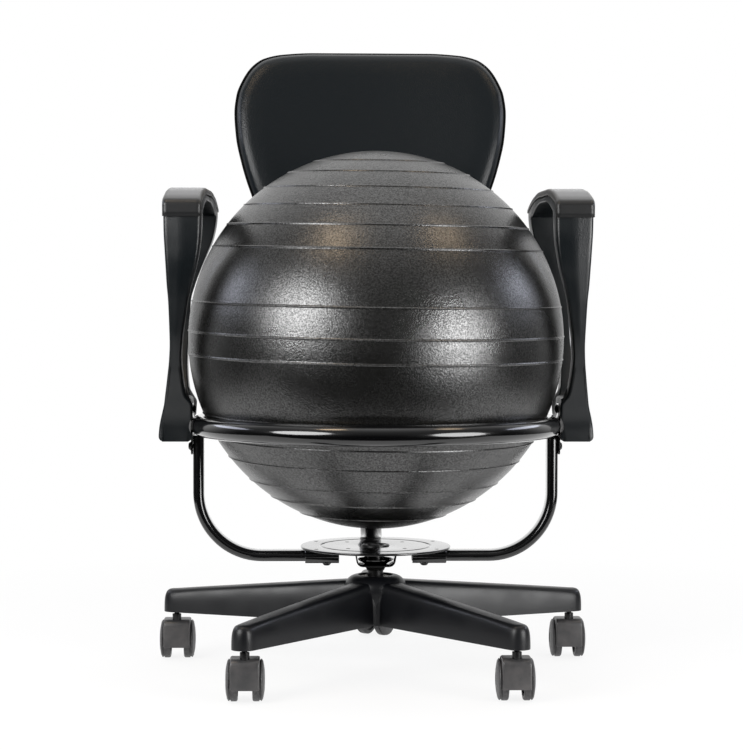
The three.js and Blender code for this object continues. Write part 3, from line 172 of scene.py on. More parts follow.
def replace_node(piece, node, body):
    """The piece stands for the CAD node, which is hidden, and moves with the body."""
    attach(piece, body)
    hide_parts(node)


def laid(grid, axis):
    """The grid with its Z axis laid along the named axis."""
    return grid[..., {"Z": [0, 1, 2], "X": [2, 0, 1], "Y": [1, 2, 0]}[axis]]


def turned(profile, centre, sides, axis="Z"):
    """A profile of (radius, height) carried round an axis: x and y are the radius times the
    cosine and sine of the angle, and the result is laid along the named axis."""
    profile = np.asarray(profile, float)
    angle = np.linspace(0, 2 * np.pi, sides + 1)
    radius, height = profile[:, :1], profile[:, 1:]
    points = np.stack([radius * np.cos(angle), radius * np.sin(angle),
                       np.broadcast_to(height, (len(profile), sides + 1))], -1)
    return laid(points, axis) + np.asarray(centre, float)


def eased(corners, radius, closed=False, steps=5):
    """A polyline with its corners eased: each corner becomes a parabola that leaves one side
    and joins the next at the radius from the corner, or half a side where that is less."""
    corners = np.asarray(corners, float)
    before, after = np.roll(corners, 1, 0) - corners, np.roll(corners, -1, 0) - corners
    long_before = np.linalg.norm(before, axis=1, keepdims=True)
    long_after = np.linalg.norm(after, axis=1, keepdims=True)
    reach = np.minimum(np.broadcast_to(np.reshape(radius, (-1, 1)), (len(corners), 1)),
                       np.minimum(long_before, long_after) * 0.499)
    start = corners + before / np.maximum(long_before, 1e-9) * reach
    end = corners + after / np.maximum(long_after, 1e-9) * reach
    t = np.linspace(0, 1, steps + 1)[None, :, None]
    arcs = (1 - t) ** 2 * start[:, None] + 2 * t * (1 - t) * corners[:, None] + t ** 2 * end[:, None]
    if closed:
        line = arcs.reshape(-1, corners.shape[1])
        return np.concatenate([line, line[:1]])
    inner = arcs[1:-1].reshape(-1, corners.shape[1])
    return np.concatenate([corners[:1], inner, corners[-1:]])


def moved(grid, spin, centre):
    """The grid turned about Z by an angle, then moved so that its origin is at the centre."""
    turn = np.array([[math.cos(spin), -math.sin(spin), 0], [math.sin(spin), math.cos(spin), 0],
                     [0, 0, 1]])
    return grid @ turn.T + np.asarray(centre, float)


# Satin black nylon, moulded against a spark-eroded tool: a fine even grain that spreads
# highlights, with faint cloudiness from the flow of the melt.
nylon, shader, place = start_finish("black_nylon_moulded", "#0B0C0F", Roughness=0.36, IOR=1.45,
                                    Specular_IOR_Level=0.4)
vary(shader, "Roughness", add_noise(place, 45 * MM, 2), 0.3, 0.42)
emboss(shader, add_noise(place, 1.6 * MM, 3), 0.35, 0.15 * MM)

swivel_axis = (0, axis_y, 0)
stem_ring = 297 * MM
hub_radius = 44 * MM
arm_root = 24 * MM
arm_half_root, tip_radius = 23 * MM, 16 * MM
arm_top_root, arm_top_tip = 128 * MM, 102.7 * MM
arm_foot_root, arm_foot_tip = 69 * MM, 70.4 * MM
arm_wall = 3.5 * MM
box_from = 215 * MM          # from here outward the crowned arm turns boxed
tip_centre = stem_ring + 2 * MM
root_fillet, crest_fillet, dome_edge = 5 * MM, 1.5 * MM, 39.5 * MM


def arm_skin(inset, levels):
    """One skin of an arm as rows of sections across it. A section's half-width falls from the
    root to the tip and its height share s and width share w obey w**p + s**q = 1, so a low q
    gives a crowned top and a high q a boxed one. At the tip the sections close in a half
    circle, each starting at the width share where the skin has the height of that section."""
    near_hub = np.array([33, 36, 38, 39.5, 41, 42.5, 44, 46, 48.5, 52]) * MM
    along = np.concatenate([near_hub, np.linspace(58 * MM, tip_centre, 34)])
    closing = np.sin(np.linspace(np.pi / 2, 0, 18))[1:]
    share = np.clip((along - arm_root) / (tip_centre - arm_root), 0, 1)
    box_share = np.clip((along - box_from) / (tip_centre - box_from), 0, 1) ** 2
    box_share = np.concatenate([box_share, np.ones(len(closing))])
    p, q = 7 - 3 * box_share, 1.8 + 1.5 * box_share
    peak = np.concatenate([np.ones(len(along)), closing])
    width_share = np.clip(1 - peak ** q, 0, 1) ** (1 / p)
    half = arm_half_root + (tip_radius - arm_half_root) * share - inset
    reach_squared = (hub_radius + root_fillet) ** 2 - (half + inset + root_fillet) ** 2
    beside = np.clip(np.sqrt(np.clip(reach_squared, 0, None)) - along, 0, root_fillet)
    half = half + (root_fillet - np.sqrt(root_fillet ** 2 - beside ** 2)) * (inset == 0)
    half = np.concatenate([half, np.full(len(closing), tip_radius - inset)])
    out = np.concatenate([along, tip_centre + (tip_radius - inset) * width_share[len(along):]])
    share = np.concatenate([share, np.ones(len(closing))])
    foot = arm_foot_root + (arm_foot_tip - arm_foot_root) * share
    top = arm_top_root + (arm_top_tip - arm_top_root) * share - inset
    s = peak[:, None] * np.sin(np.pi / 2 * levels)[None, :]
    w = np.clip(1 - s ** q[:, None], 0, 1) ** (1 / p[:, None])
    start = width_share[:, None]
    across = half[:, None] * np.sqrt(np.clip(w ** 2 - start ** 2, 0, None))
    across = np.where(start == 0, half[:, None] * w, across)
    height = foot[:, None] + (top - foot)[:, None] * s
    if inset == 0:
        reach = np.hypot(out[:, None], across) - dome_edge
        climb = np.clip(crest_fillet - reach, 0, crest_fillet)
        height = height + (crest_fillet - np.sqrt(crest_fillet ** 2 - climb ** 2)) * s ** 2
    right = np.stack([across, np.broadcast_to(out[:, None], across.shape), height], -1)
    left = right[:, ::-1] * [-1, 1, 1]
    return np.concatenate([right, left[:, 1:]], 1)


levels = np.linspace(0, 1, 15)
outer = arm_skin(0, levels)
inner = arm_skin(arm_wall, levels)
arm_loop = np.concatenate([outer, inner[:, ::-1], outer[:, :1]], 1)
root_cap = np.stack([outer[0], inner[0]])
boss_profile = eased([(6.4, 71.4), (10, 71.4), (9, 99), (6.4, 99), (6.4, 71.4)], 0.6) * MM
arm_grids = [arm_loop, root_cap, turned(boss_profile, (0, stem_ring, 0), 40)]
rib_gauge, rib_raise = 3 * MM, 6 * MM
for from_hub in np.array([58, 110, 162, 214]) * MM:
    row = np.argmin(np.abs(inner[:, 0, 1] - from_hub))
    wall = inner[row] * [1, 0, 1] + [0, from_hub, 0]
    middle = np.broadcast_to(wall.mean(0), wall.shape)
    wall[[0, -1], 2] += rib_raise
    thick = np.array([0, rib_gauge / 2, 0])
    arm_grids.append(np.stack([middle - thick, wall - thick, wall + thick, middle + thick]))
star_grids = []
for arm in range(5):
    star_grids += [moved(grid, arm * 2 * math.pi / 5, swivel_axis) for grid in arm_grids]
hub_profile = eased(np.array([
    (17.4, 72), (22.5, 72), (22.5, 110), (37, 110), (36, 72), (39.4, 72), (43.6, 104), (44, 116),
    (42.4, 123.5), (39, 128.8), (33.5, 133), (27.8, 134.6), (24, 134.7), (24, 129.7), (17.4, 129.7),
    (17.4, 72)]) * MM,
    np.array([.5, .8, 2, 2, .8, 1, 12, 5, 5, 5, 4, 3, .6, .6, .6, .5]) * MM, closed=True)
star_grids.append(turned(hub_profile, swivel_axis, 160))
star = make_piece("star_base_moulding", nylon, *star_grids)
replace_node(star, "star_base", "base")

# Column in the hub
# A steel tube in the hub, with an acetal bush at its mouth, a thrust bearing under the
# spindle and a wire clip on the spindle's tail. Only the bush's flange and the clip show.

# Natural acetal: milky white, slightly waxy, turned on a lathe.
acetal, shader, place = start_finish("natural_acetal_turned", "#D2CFC6", Roughness=0.35)
lines = add_node(place.id_data, "ShaderNodeTexWave", {"Vector": place}, wave_type="RINGS",
                 rings_direction="Z", Scale=1 / (2.4 * MM))
emboss(shader, lines.outputs["Fac"], 0.1, 0.05 * MM)

# Bright zinc plate on steel: pale, slightly blue, with a soft cloudy roughness.
zinc, shader, place = start_finish("zinc_plated_steel", "#A9ACB0", Metallic=1.0, Roughness=0.34)
vary(shader, "Roughness", add_noise(place, 3 * MM, 4), 0.24, 0.46)

# Black oxide and thin satin paint on steel parts: near black, broken highlights.
black_steel, shader, place = start_finish("black_oxide_steel", "#060607", Roughness=0.34,
                                          Specular_IOR_Level=0.25, Coat_Weight=0.15,
                                          Coat_Roughness=0.12)
cloud = add_noise(place, 6 * MM, 5)
vary(shader, "Roughness", cloud, 0.26, 0.44)
emboss(shader, cloud, 0.15, 0.1 * MM)


def dress_node(node, finish):
    """A CAD node that keeps its shape takes the finish."""
    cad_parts[node].data.materials.clear()
    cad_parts[node].data.materials.append(finish)


def turn_on_axis(name, finish, profile, node, body):
    """A profile turned round the swivel axis into the piece that stands for a CAD node."""
    piece = make_piece(name, finish, turned(profile, swivel_axis, 72))
    replace_node(piece, node, body)


dress_node("thrust_bearing", zinc)
dress_node("retaining_clip", zinc)

tube_low, tube_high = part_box("column_tube")
tube_radius, tube_bore, tube_floor = 17 * MM, 14 * MM, 3 * MM
tail_hole = 7 * MM
column_profile = eased([
    (tail_hole, tube_low.z), (tube_radius, tube_low.z), (tube_radius, tube_high.z),
    (tube_bore, tube_high.z), (tube_bore, tube_low.z + tube_floor),
    (tail_hole, tube_low.z + tube_floor)], 0.5 * MM, closed=True)
turn_on_axis("column_tube_drawn", black_steel, column_profile, "column_tube", "base")

bush_low, bush_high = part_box("guide_bush")
flange_radius = bush_high.x
bush_radius, bush_bore, flange_gauge = 13.7 * MM, 11.5 * MM, 2.4 * MM
bush_profile = eased([
    (bush_bore, bush_low.z), (bush_radius, bush_low.z), (bush_radius, bush_high.z - flange_gauge),
    (flange_radius, bush_high.z - flange_gauge), (flange_radius, bush_high.z),
    (bush_bore, bush_high.z)], 0.6 * MM, closed=True)
turn_on_axis("guide_bush_turned", acetal, bush_profile, "guide_bush", "base")

# Casters
# Twin-wheel furniture casters: a grey nylon hood over two bulging wheels on a steel axle, with
# a black collar round a black steel stem whose spring ring grips the star's tip.


def add_ramp(source, stops):
    """A colour ramp fed by the source, with stops of (position, colour); returns its colour."""
    ramp = add_node(source.id_data, "ShaderNodeValToRGB", {"Fac": source})
    elements = ramp.color_ramp.elements
    while len(elements) < len(stops):
        elements.new(1.0)
    for element, (position, colour) in zip(elements, stops):
        element.position = position
        element.color = hex_linear(colour) if isinstance(colour, str) else (*colour, 1)
    return ramp.outputs["Color"]


# Dark grey satin nylon with a faintly cloudy tone and a fine even grain.
caster_nylon, shader, place = start_finish("grey_nylon_moulded", "#343435", Roughness=0.36,
                                           IOR=1.52)
tone = add_ramp(add_noise(place, 18 * MM, 4), [(0.3, "#2D2D2E"), (0.7, "#444242")])
shader.id_data.links.new(tone, shader.inputs["Base Color"])
emboss(shader, add_noise(place, 1.1 * MM, 2), 0.3, 0.12 * MM)

# The tread is the same nylon, duller and scuffed where it rolls.
tread_nylon, shader, place = start_finish("grey_nylon_tread", "#323234", Roughness=0.46, IOR=1.52)
scuff = add_noise(place, 4 * MM, 6)
tone = add_ramp(scuff, [(0.35, "#262628"), (0.72, "#434242")])
shader.id_data.links.new(tone, shader.inputs["Base Color"])
emboss(shader, scuff, 0.25, 0.15 * MM)


def slab(outline, low, high, edge):
    """A flat outline of (y, z) carried along x, with rounded rims: near each face the outline
    shrinks towards its middle by the edge radius times one minus the cosine of the rim's angle,
    and each face closes to its middle point."""
    middle = outline[:-1].mean(0)
    outward = (outline - middle) / np.linalg.norm(outline - middle, axis=1, keepdims=True)
    angle = np.linspace(np.pi / 2, 0, 6)
    inset = edge * np.concatenate([1 - np.cos(angle), (1 - np.cos(angle))[::-1]])
    rim = edge * (1 - np.sin(angle))
    x = np.concatenate([low + rim, (high - rim)[::-1]])
    ring = outline[None] - outward[None] * inset[:, None, None]
    ring = np.concatenate([np.broadcast_to(middle, ring[:1].shape), ring,
                           np.broadcast_to(middle, ring[:1].shape)])
    x = np.concatenate([x[:1], x, x[-1:]])
    return np.concatenate([np.broadcast_to(x[:, None, None], (*ring.shape[:2], 1)), ring], -1)


def cut_away(piece, *tools):
    """Cut each tool's closed shape out of the piece, then delete the tool."""
    for tool in tools:
        cutter = piece.modifiers.new("cut", "BOOLEAN")
        cutter.operation, cutter.object, cutter.solver = "DIFFERENCE", tool, "EXACT"
        with bpy.context.temp_override(object=piece):
            bpy.ops.object.modifier_apply(modifier=cutter.name)
        bpy.data.objects.remove(tool)
    piece.data.shade_smooth()
    piece.data.set_sharp_from_angle(angle=math.radians(30))


wheel_radius = 27.5 * MM
wheel_profile = eased(np.array([
    (0, 19.9), (3.5, 19.9), (3.5, 9.7), (9, 9.7), (9, 12.5), (22, 12.5), (22, 9.7), (26.2, 9.7),
    (27.5, 11.2), (27.5, 18.2), (26, 18.5), (26, 20.2), (27.2, 20.6), (26.4, 22.1), (25.4, 22.3),
    (24.6, 23.1), (15, 25.1), (8, 25.3), (7.4, 24.5), (0, 24.5)]) * MM,
    np.array([.2, .2, .4, .4, 1, 1, .4, .6, .8, .5, .3, .3, .6, .5, .4, .6, 6, .6, .5, .2]) * MM)
trail = 20 * MM
hood_radius, hood_half, hood_skirt = 30.7 * MM, 19 * MM, 18.2 * MM
hood_nose, hood_corner = 10.5 * MM, 11 * MM
hood_web, pocket_radius = 9.1 * MM, 29.2 * MM
tail = np.radians(np.linspace(20, 90, 16))
hood_arc = [trail, wheel_radius] + hood_radius * np.stack([np.cos(tail), np.sin(tail)], 1)
hood_top = wheel_radius + hood_radius
hood_outline = eased(np.concatenate([
    [(trail + 9.2 * MM, hood_skirt), (38.8 * MM, 21.5 * MM)], hood_arc,
    [(-hood_nose, hood_top), (-hood_nose, hood_skirt)]]),
    np.concatenate([[1.5 * MM, 2 * MM], np.full(len(hood_arc), 0.3 * MM), [hood_corner, 1.5 * MM]]),
    closed=True, steps=6)
neck_bore, neck_radius, neck_top = 4.6 * MM, 6.3 * MM, 66.5 * MM
neck_profile = eased([(neck_bore, hood_top - 3 * MM), (neck_radius, hood_top - 3 * MM),
                      (neck_radius, neck_top), (neck_bore, neck_top)], 0.6 * MM, closed=True)
for number in range(1, 6):
    caster = f"caster_{number}"
    stem_low, stem_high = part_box(f"{caster}_stem")
    axle_low, axle_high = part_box(f"{caster}_axle")
    stem = np.array([(stem_low.x + stem_high.x) / 2, (stem_low.y + stem_high.y) / 2, 0])
    axle = np.array([(axle_low.x + axle_high.x) / 2, (axle_low.y + axle_high.y) / 2, 0])
    turn = math.atan2(axle[1] - stem[1], axle[0] - stem[0]) - math.pi / 2
    dress_node(f"{caster}_axle", zinc)

    hood = make_piece(f"{caster}_hood_shell", caster_nylon,
                      moved(slab(hood_outline, -hood_half, hood_half, 2.6 * MM), turn, stem))
    # A round pocket from each side leaves a web between the wheels.
    pockets = []
    for side in (-1, 1):
        ends = [side * hood_web, side * (hood_half + 2 * MM)]
        shape = eased([(0, ends[0]), (pocket_radius, ends[0]), (pocket_radius, ends[1]),
                       (0, ends[1])], 0.8 * MM)
        pocket = turned(shape, (0, trail, wheel_radius), 96, "X")
        pockets.append(make_piece(f"pocket_{side}", caster_nylon, moved(pocket, turn, stem)))
    cut_away(hood, *pockets)
    # The black collar is joined on after the cuts, so it keeps its own finish.
    neck = make_piece("neck", black_steel, turned(neck_profile, stem, 48))
    with bpy.context.temp_override(active_object=hood, selected_editable_objects=[hood, neck]):
        bpy.ops.object.join()
    replace_node(hood, f"{caster}_hood", caster)

    for side, label in ((-1, "left"), (1, "right")):
        rolled = turned(wheel_profile * [1, side], (0, trail, wheel_radius), 96, "X")
        wheel = make_piece(f"{caster}_wheel_{label}_moulding", tread_nylon,
                           moved(rolled, turn, stem))
        replace_node(wheel, f"{caster}_wheel_{label}", f"wheel_{number}_{label}")

    shape = eased([(0, stem_low.z), (4 * MM, stem_low.z), (4 * MM, neck_top), (3.2 * MM, 68.4 * MM),
                   (5.5 * MM, 70.4 * MM), (5.5 * MM, 90.4 * MM), (6 * MM, 91.9 * MM),
                   (5.5 * MM, 93.4 * MM), (5.4 * MM, 94.6 * MM), (3.7 * MM, stem_high.z),
                   (0, stem_high.z)], 0.4 * MM)
    grip = make_piece(f"{caster}_stem_turned", black_steel, turned(shape, stem, 40))
    replace_node(grip, f"{caster}_stem", "base")

# Spindle, collar, saddle and plate
# A steel spindle turns in the hub's bush. The bent saddle is welded to it over a taper
# collar, and carries the round seat plate, which has a pressed groove and spare holes and a
# turned ring in its centre.

spindle_profile = eased(np.array([
    (0, 66.6), (4, 66.6), (5, 67.6), (5, 71.7), (4, 71.7), (4, 73.7), (5, 73.7), (5, 82.6),
    (11, 82.6), (11, 174.4), (9.8, 175.5), (0, 175.5)]) * MM, 0.3 * MM)
turn_on_axis("spindle_turned", black_steel, spindle_profile, "spindle", "seat")

collar_low, collar_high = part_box("taper_collar")
collar_profile = eased([
    (11.3 * MM, collar_low.z), (12.2 * MM, collar_low.z), (12.6 * MM, collar_low.z + 1.6 * MM),
    (15 * MM, collar_high.z - 1.4 * MM), (15 * MM, collar_high.z), (11.3 * MM, collar_high.z)],
    0.5 * MM, closed=True)
turn_on_axis("taper_collar_turned", black_steel, collar_profile, "taper_collar", "seat")

centre_low, centre_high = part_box("centre_ring")
centre_profile = eased([
    (11.3 * MM, centre_low.z), (19.2 * MM, centre_low.z), (19.2 * MM, centre_high.z),
    (17.4 * MM, centre_high.z), (16.6 * MM, centre_high.z - 0.7 * MM),
    (13.2 * MM, centre_high.z - 0.7 * MM), (12.6 * MM, centre_high.z), (11.3 * MM, centre_high.z)],
    0.35 * MM, closed=True)
turn_on_axis("centre_ring_turned", black_steel, centre_profile, "centre_ring", "seat")

# Gloss black powder coat on steel: deep, wet-looking, with a trace of orange peel.
enamel, shader, place = start_finish("gloss_black_powder_coat", "#040405", Roughness=0.17,
                                     IOR=1.36, Coat_Weight=1.0, Coat_Roughness=0.1)
vary(shader, "Roughness", add_noise(place, 60 * MM, 5), 0.13, 0.24, least=0.35)
emboss(shader, add_noise(place, 5 * MM, 1), 0.05, 0.2 * MM)


def swept(path, plane, section):
    """A closed section of (side, out) carried along a path in one plane: each point is the path
    point plus side times the plane's normal plus out times the path's own normal in the plane."""
    path, plane = np.asarray(path, float), np.asarray(plane, float)
    ahead = np.gradient(path, axis=0)
    ahead /= np.linalg.norm(ahead, axis=1, keepdims=True)
    out = np.cross(ahead, plane)
    section = np.asarray(section, float)
    return (path[:, None] + section[None, :, :1] * plane + section[None, :, 1:] * out[:, None])


def closed_ends(grid):
    """The grid with its first and last ring closed to their middle points."""
    first = np.broadcast_to(grid[:1].mean(1, keepdims=True), grid[:1].shape)
    last = np.broadcast_to(grid[-1:].mean(1, keepdims=True), grid[-1:].shape)
    return np.concatenate([first, grid, last])


def rectangle(half_width, low, high, corner):
    """A closed rectangle of (side, height) with eased corners."""
    return eased([(-half_width, low), (half_width, low), (half_width, high), (-half_width, high)],
                 corner, closed=True)


saddle_low, saddle_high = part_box("saddle_bracket")
saddle_gauge = 2.2 * MM
foot_half, mouth_half = 24.9 * MM, 28.9 * MM
strap_low, strap_high = saddle_low.z + saddle_gauge / 2, saddle_high.z
strap = eased([(-mouth_half, axis_y, strap_high), (-foot_half, axis_y, strap_low),
               (foot_half, axis_y, strap_low), (mouth_half, axis_y, strap_high)], 8 * MM, steps=10)
strap_half = (saddle_high.y - saddle_low.y) / 2
strap_section = rectangle(strap_half, -saddle_gauge / 2, saddle_gauge / 2, 0.6 * MM)
dish_profile = eased(np.array([(11.3, 149.7), (15, 149.7), (24.4, 155.2), (24.8, 157), (14, 153),
                               (11.3, 153)]) * MM, 0.4 * MM, closed=True)
strap_grid = closed_ends(swept(strap, (0, 1, 0), strap_section))
saddle = make_piece("saddle_strap_bent", enamel, strap_grid, turned(dish_profile, swivel_axis, 72))
replace_node(saddle, "saddle_bracket", "seat")

plate_low, plate_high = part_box("seat_plate")
plate_radius, plate_bore = 104.5 * MM, 19.6 * MM
groove_radius, groove_half, groove_depth = 76.2 * MM, 2.2 * MM, 1.5 * MM
plate_profile = eased([
    (plate_bore, plate_low.z), (plate_radius, plate_low.z), (plate_radius, plate_high.z),
    (groove_radius + groove_half, plate_high.z), (groove_radius, plate_high.z - groove_depth),
    (groove_radius - groove_half, plate_high.z), (plate_bore, plate_high.z)],
    np.array([0.5, 1.0, 1.2, 1.0, 0.8, 1.0, 0.5]) * MM, closed=True, steps=6)
plate = make_piece("seat_plate_pressed", enamel, turned(plate_profile, swivel_axis, 192))
hole_radius = 3 * MM
drill = [(0, plate_low.z - MM), (hole_radius, plate_low.z - MM), (hole_radius, plate_high.z + MM),
         (0, plate_high.z + MM)]
holes = []
for count, radius, start in ((6, 95.5 * MM, math.pi / 6), (4, 55 * MM, math.pi / 4)):
    for k in range(count):
        angle = start + 2 * math.pi * k / count
        centre = (radius * math.cos(angle), axis_y + radius * math.sin(angle), 0)
        holes.append(make_piece("hole", enamel, turned(drill, centre, 32)))
cut_away(plate, *holes)
replace_node(plate, "seat_plate", "seat")

# Sockets and frame tubes
# Three oval sockets are welded under the plate. A J-shaped flat-oval tube is bolted in each:
# the side tubes rise to the ring, and the rear one goes on up, leaning back, to the back.


def oval(width, depth):
    """A flat oval: two half circles as wide as the depth, joined by straight sides."""
    angle = np.linspace(-np.pi / 2, np.pi / 2, 14)
    end = np.stack([(width - depth) / 2 + depth / 2 * np.cos(angle), depth / 2 * np.sin(angle)], 1)
    loop = np.concatenate([end, -end])
    return np.concatenate([loop, loop[:1]])


def bent(corners, radii):
    """A polyline whose inner corners are circular arcs: an arc meets its sides at the radius
    over the tangent of half the corner's angle, and turns about a centre at the radius over
    the sine of that half, along the bisector."""
    corners = np.asarray(corners, float)
    line = [corners[:1]]
    for before, corner, after, radius in zip(corners, corners[1:], corners[2:], radii):
        back = (before - corner) / np.linalg.norm(before - corner)
        ahead = (after - corner) / np.linalg.norm(after - corner)
        half = math.acos(np.dot(back, ahead)) / 2
        centre = corner + (back + ahead) / np.linalg.norm(back + ahead) * radius / math.sin(half)
        start = corner + back * radius / math.tan(half) - centre
        end = corner + ahead * radius / math.tan(half) - centre
        turn = np.linspace(0, np.pi - 2 * half, 25)[:, None]
        line.append(centre + (start * np.sin(turn[::-1]) + end * np.sin(turn)) / math.sin(turn[-1, 0]))
    return np.concatenate(line + [corners[-1:]])


def sleeve(outer, bore, start, end):
    """Two loops of (y, z) as the outside and the bore of a sleeve along x from start to end,
    with a small chamfer at both mouths."""
    edge = 0.6 * MM
    step = np.sign(end - start) * edge
    middle = outer[:-1].mean(0)
    slim = middle + (outer - middle) * (1 - edge / np.abs(outer - middle).max())
    rings = [(start + step, outer), (end - step, outer), (end, slim), (end, bore), (start, bore),
             (start, slim), (start + step, outer)]
    return np.stack([np.concatenate([np.full((len(loop), 1), x), loop], 1) for x, loop in rings])


bar_width, bar_depth, bend_radius = 32 * MM, 15 * MM, 88 * MM
bar_section = oval(bar_width, bar_depth)
socket_low, socket_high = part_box("tube_socket_right")
socket_mid = (socket_low.z + socket_high.z) / 2
socket_outer = oval(socket_high.y - socket_low.y, socket_high.z - socket_low.z) + [0, socket_mid]
socket_bore = oval(bar_width + 0.8 * MM, bar_depth + 0.8 * MM) + [0, socket_mid]
socket_grids = [sleeve(socket_outer, socket_bore, socket_low.x, socket_high.x)]
weld_reach, weld_radius, weld_ripple, ripple_length = 9.8 * MM, 1.5 * MM, 0.25 * MM, 3.2 * MM
weld_angle = np.linspace(0, 2 * np.pi, 13)
weld_x = np.linspace(socket_low.x + 3 * MM, socket_high.x - 3 * MM, 40)
ripple = (weld_radius + weld_ripple * np.sin(weld_x * 2 * np.pi / ripple_length))[:, None]
for side in (-1, 1):
    weld = np.stack([np.broadcast_to(weld_x[:, None], (40, 13)),
                     side * weld_reach + ripple * np.cos(weld_angle),
                     socket_high.z - 0.4 * MM + ripple * 0.5 * np.sin(weld_angle)], -1)
    socket_grids.append(closed_ends(weld))
for label, spin in (("right", 0.0), ("rear", math.pi / 2), ("left", math.pi)):
    socket = make_piece(f"tube_socket_{label}_welded", enamel,
                        *[moved(grid, spin, swivel_axis) for grid in socket_grids])
    replace_node(socket, f"tube_socket_{label}", "seat")

side_low, side_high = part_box("side_tube_right")
bar_height = side_low.z + bar_depth / 2
bar_start, bar_radius = side_low.x, side_high.x - bar_depth / 2
side_path = bent([(bar_start, 0, bar_height), (bar_radius, 0, bar_height),
                  (bar_radius, 0, side_high.z)], [bend_radius])
for label, spin in (("right", 0.0), ("left", math.pi)):
    tube_grid = closed_ends(swept(side_path, (0, 1, 0), bar_section))
    tube = make_piece(f"side_tube_{label}_bent", enamel, moved(tube_grid, spin, swivel_axis))
    replace_node(tube, f"side_tube_{label}", "seat")

rear_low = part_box("rear_tube")[0]
lean_start, lean_end, back_lean = 398 * MM, 572 * MM, math.radians(5)
rear_radius, lean_foot, rear_bend = 268 * MM, 334 * MM, 70 * MM
rear_top = 803.66 * MM
rear_path = bent(np.array([
    (0, rear_low.y - axis_y, bar_height), (0, rear_radius, bar_height),
    (0, rear_radius, lean_start), (0, lean_foot, lean_end),
    (0, lean_foot + (rear_top - lean_end) * math.tan(back_lean), rear_top)]) + [0, axis_y, 0],
    [bend_radius, rear_bend, rear_bend])
rear_tube = make_piece("rear_tube_bent", enamel,
                       closed_ends(swept(rear_path, (1, 0, 0), bar_section)))
replace_node(rear_tube, "rear_tube", "seat")

# Fasteners
# Button-head bolts with a hex socket hold the tubes in their sockets, the tubes to the
# ring's plates and the armrests to the ring.

head_rise = 3.8 * MM


def button_bolt(head, along, centre, length, face):
    """A button head of this radius, its shank and its hex socket, turned round an axis: the
    socket's radius at each angle is the hexagon's flat distance over the cosine of the angle
    from the nearest flat. The head's seat is at the face and the shank runs the other way."""
    shank, socket_flat, sides = 3 * MM, 2 * MM, 48
    profile = eased([(0, -length), (shank, -length), (shank, 0), (head, 0), (head, 0.8 * MM),
                     (head * 0.62, head_rise * 0.92), (2.6 * MM, head_rise)], 0.9 * MM, steps=6)
    grid = turned(profile, (0, 0, 0), sides)
    angle = np.linspace(0, 2 * np.pi, sides + 1)
    flat = socket_flat / np.cos((angle + np.pi / 6) % (np.pi / 3) - np.pi / 6)
    hexagon = np.stack([flat * np.cos(angle), flat * np.sin(angle)], -1)
    rings = [np.concatenate([hexagon * size, np.full((sides + 1, 1), z)], 1)
             for size, z in ((1, head_rise), (1, head_rise - 1.8 * MM), (0, head_rise - 2.1 * MM))]
    grid = np.concatenate([grid, np.stack(rings)]) * [1, 1, face]
    return laid(grid, along) + np.asarray(centre, float)


bolt_head = 6.2 * MM
bolts = {"socket_bolt_right": ("Z", -1), "socket_bolt_left": ("Z", -1),
         "socket_bolt_rear": ("Z", -1), "ring_bolt_right": ("X", 1), "ring_bolt_left": ("X", -1),
         "ring_bolt_rear": ("Y", 1), "armrest_bolt_right": ("X", -1), "armrest_bolt_left": ("X", 1)}
for name, (along, face) in bolts.items():
    low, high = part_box(name)
    middle = (low + high) / 2
    axis = "XYZ".index(along)
    centre = [middle.x, middle.y, middle.z]
    centre[axis] = (high[axis] - head_rise) if face > 0 else (low[axis] + head_rise)
    length = high[axis] - low[axis] - head_rise
    bolt = make_piece(f"{name}_button", black_steel,
                      button_bolt(bolt_head, along, centre, length, face))
    replace_node(bolt, name, "seat")

# Ball ring
# A steel tube bent to a closed ring, with three plates welded to its outside for the side
# tubes, the rear tube and the armrests.

ring_radius, ring_tube = 243 * MM, 14 * MM
ring_height = 344 * MM


def ring_round(tube):
    """A full turn of round tube of this radius along the ring's middle line."""
    along, about = np.linspace(0, 2 * np.pi, 257)[:, None], np.linspace(0, 2 * np.pi, 41)
    from_axis = ring_radius + tube * np.cos(about)
    height = np.broadcast_to(ring_height + tube * np.sin(about), (257, 41))
    return np.stack([np.cos(along) * from_axis, axis_y + np.sin(along) * from_axis, height], -1)


plate_half, plate_drop, plate_near = 14 * MM, 41 * MM, ring_radius + 10.6 * MM
ring_grids = [ring_round(ring_tube)]
for spin, top, thick in ((0, 30 * MM, 2.5 * MM), (math.pi, 30 * MM, 2.5 * MM),
                         (math.pi / 2, 0, 6.6 * MM)):
    face = rectangle(plate_half, ring_height - plate_drop, ring_height + top, 4 * MM)
    ring_grids.append(moved(slab(face, plate_near, plate_near + thick, 0.5 * MM), spin, swivel_axis))
ring = make_piece("ball_ring_bent", enamel, *ring_grids)
replace_node(ring, "ball_ring", "seat")

# Exercise ball
# Thick PVC, blown with low ribs round it and inflated until it is taut. It rests in the ring,
# which presses a shallow seat into it, sags a little below it and lies a degree out of level.

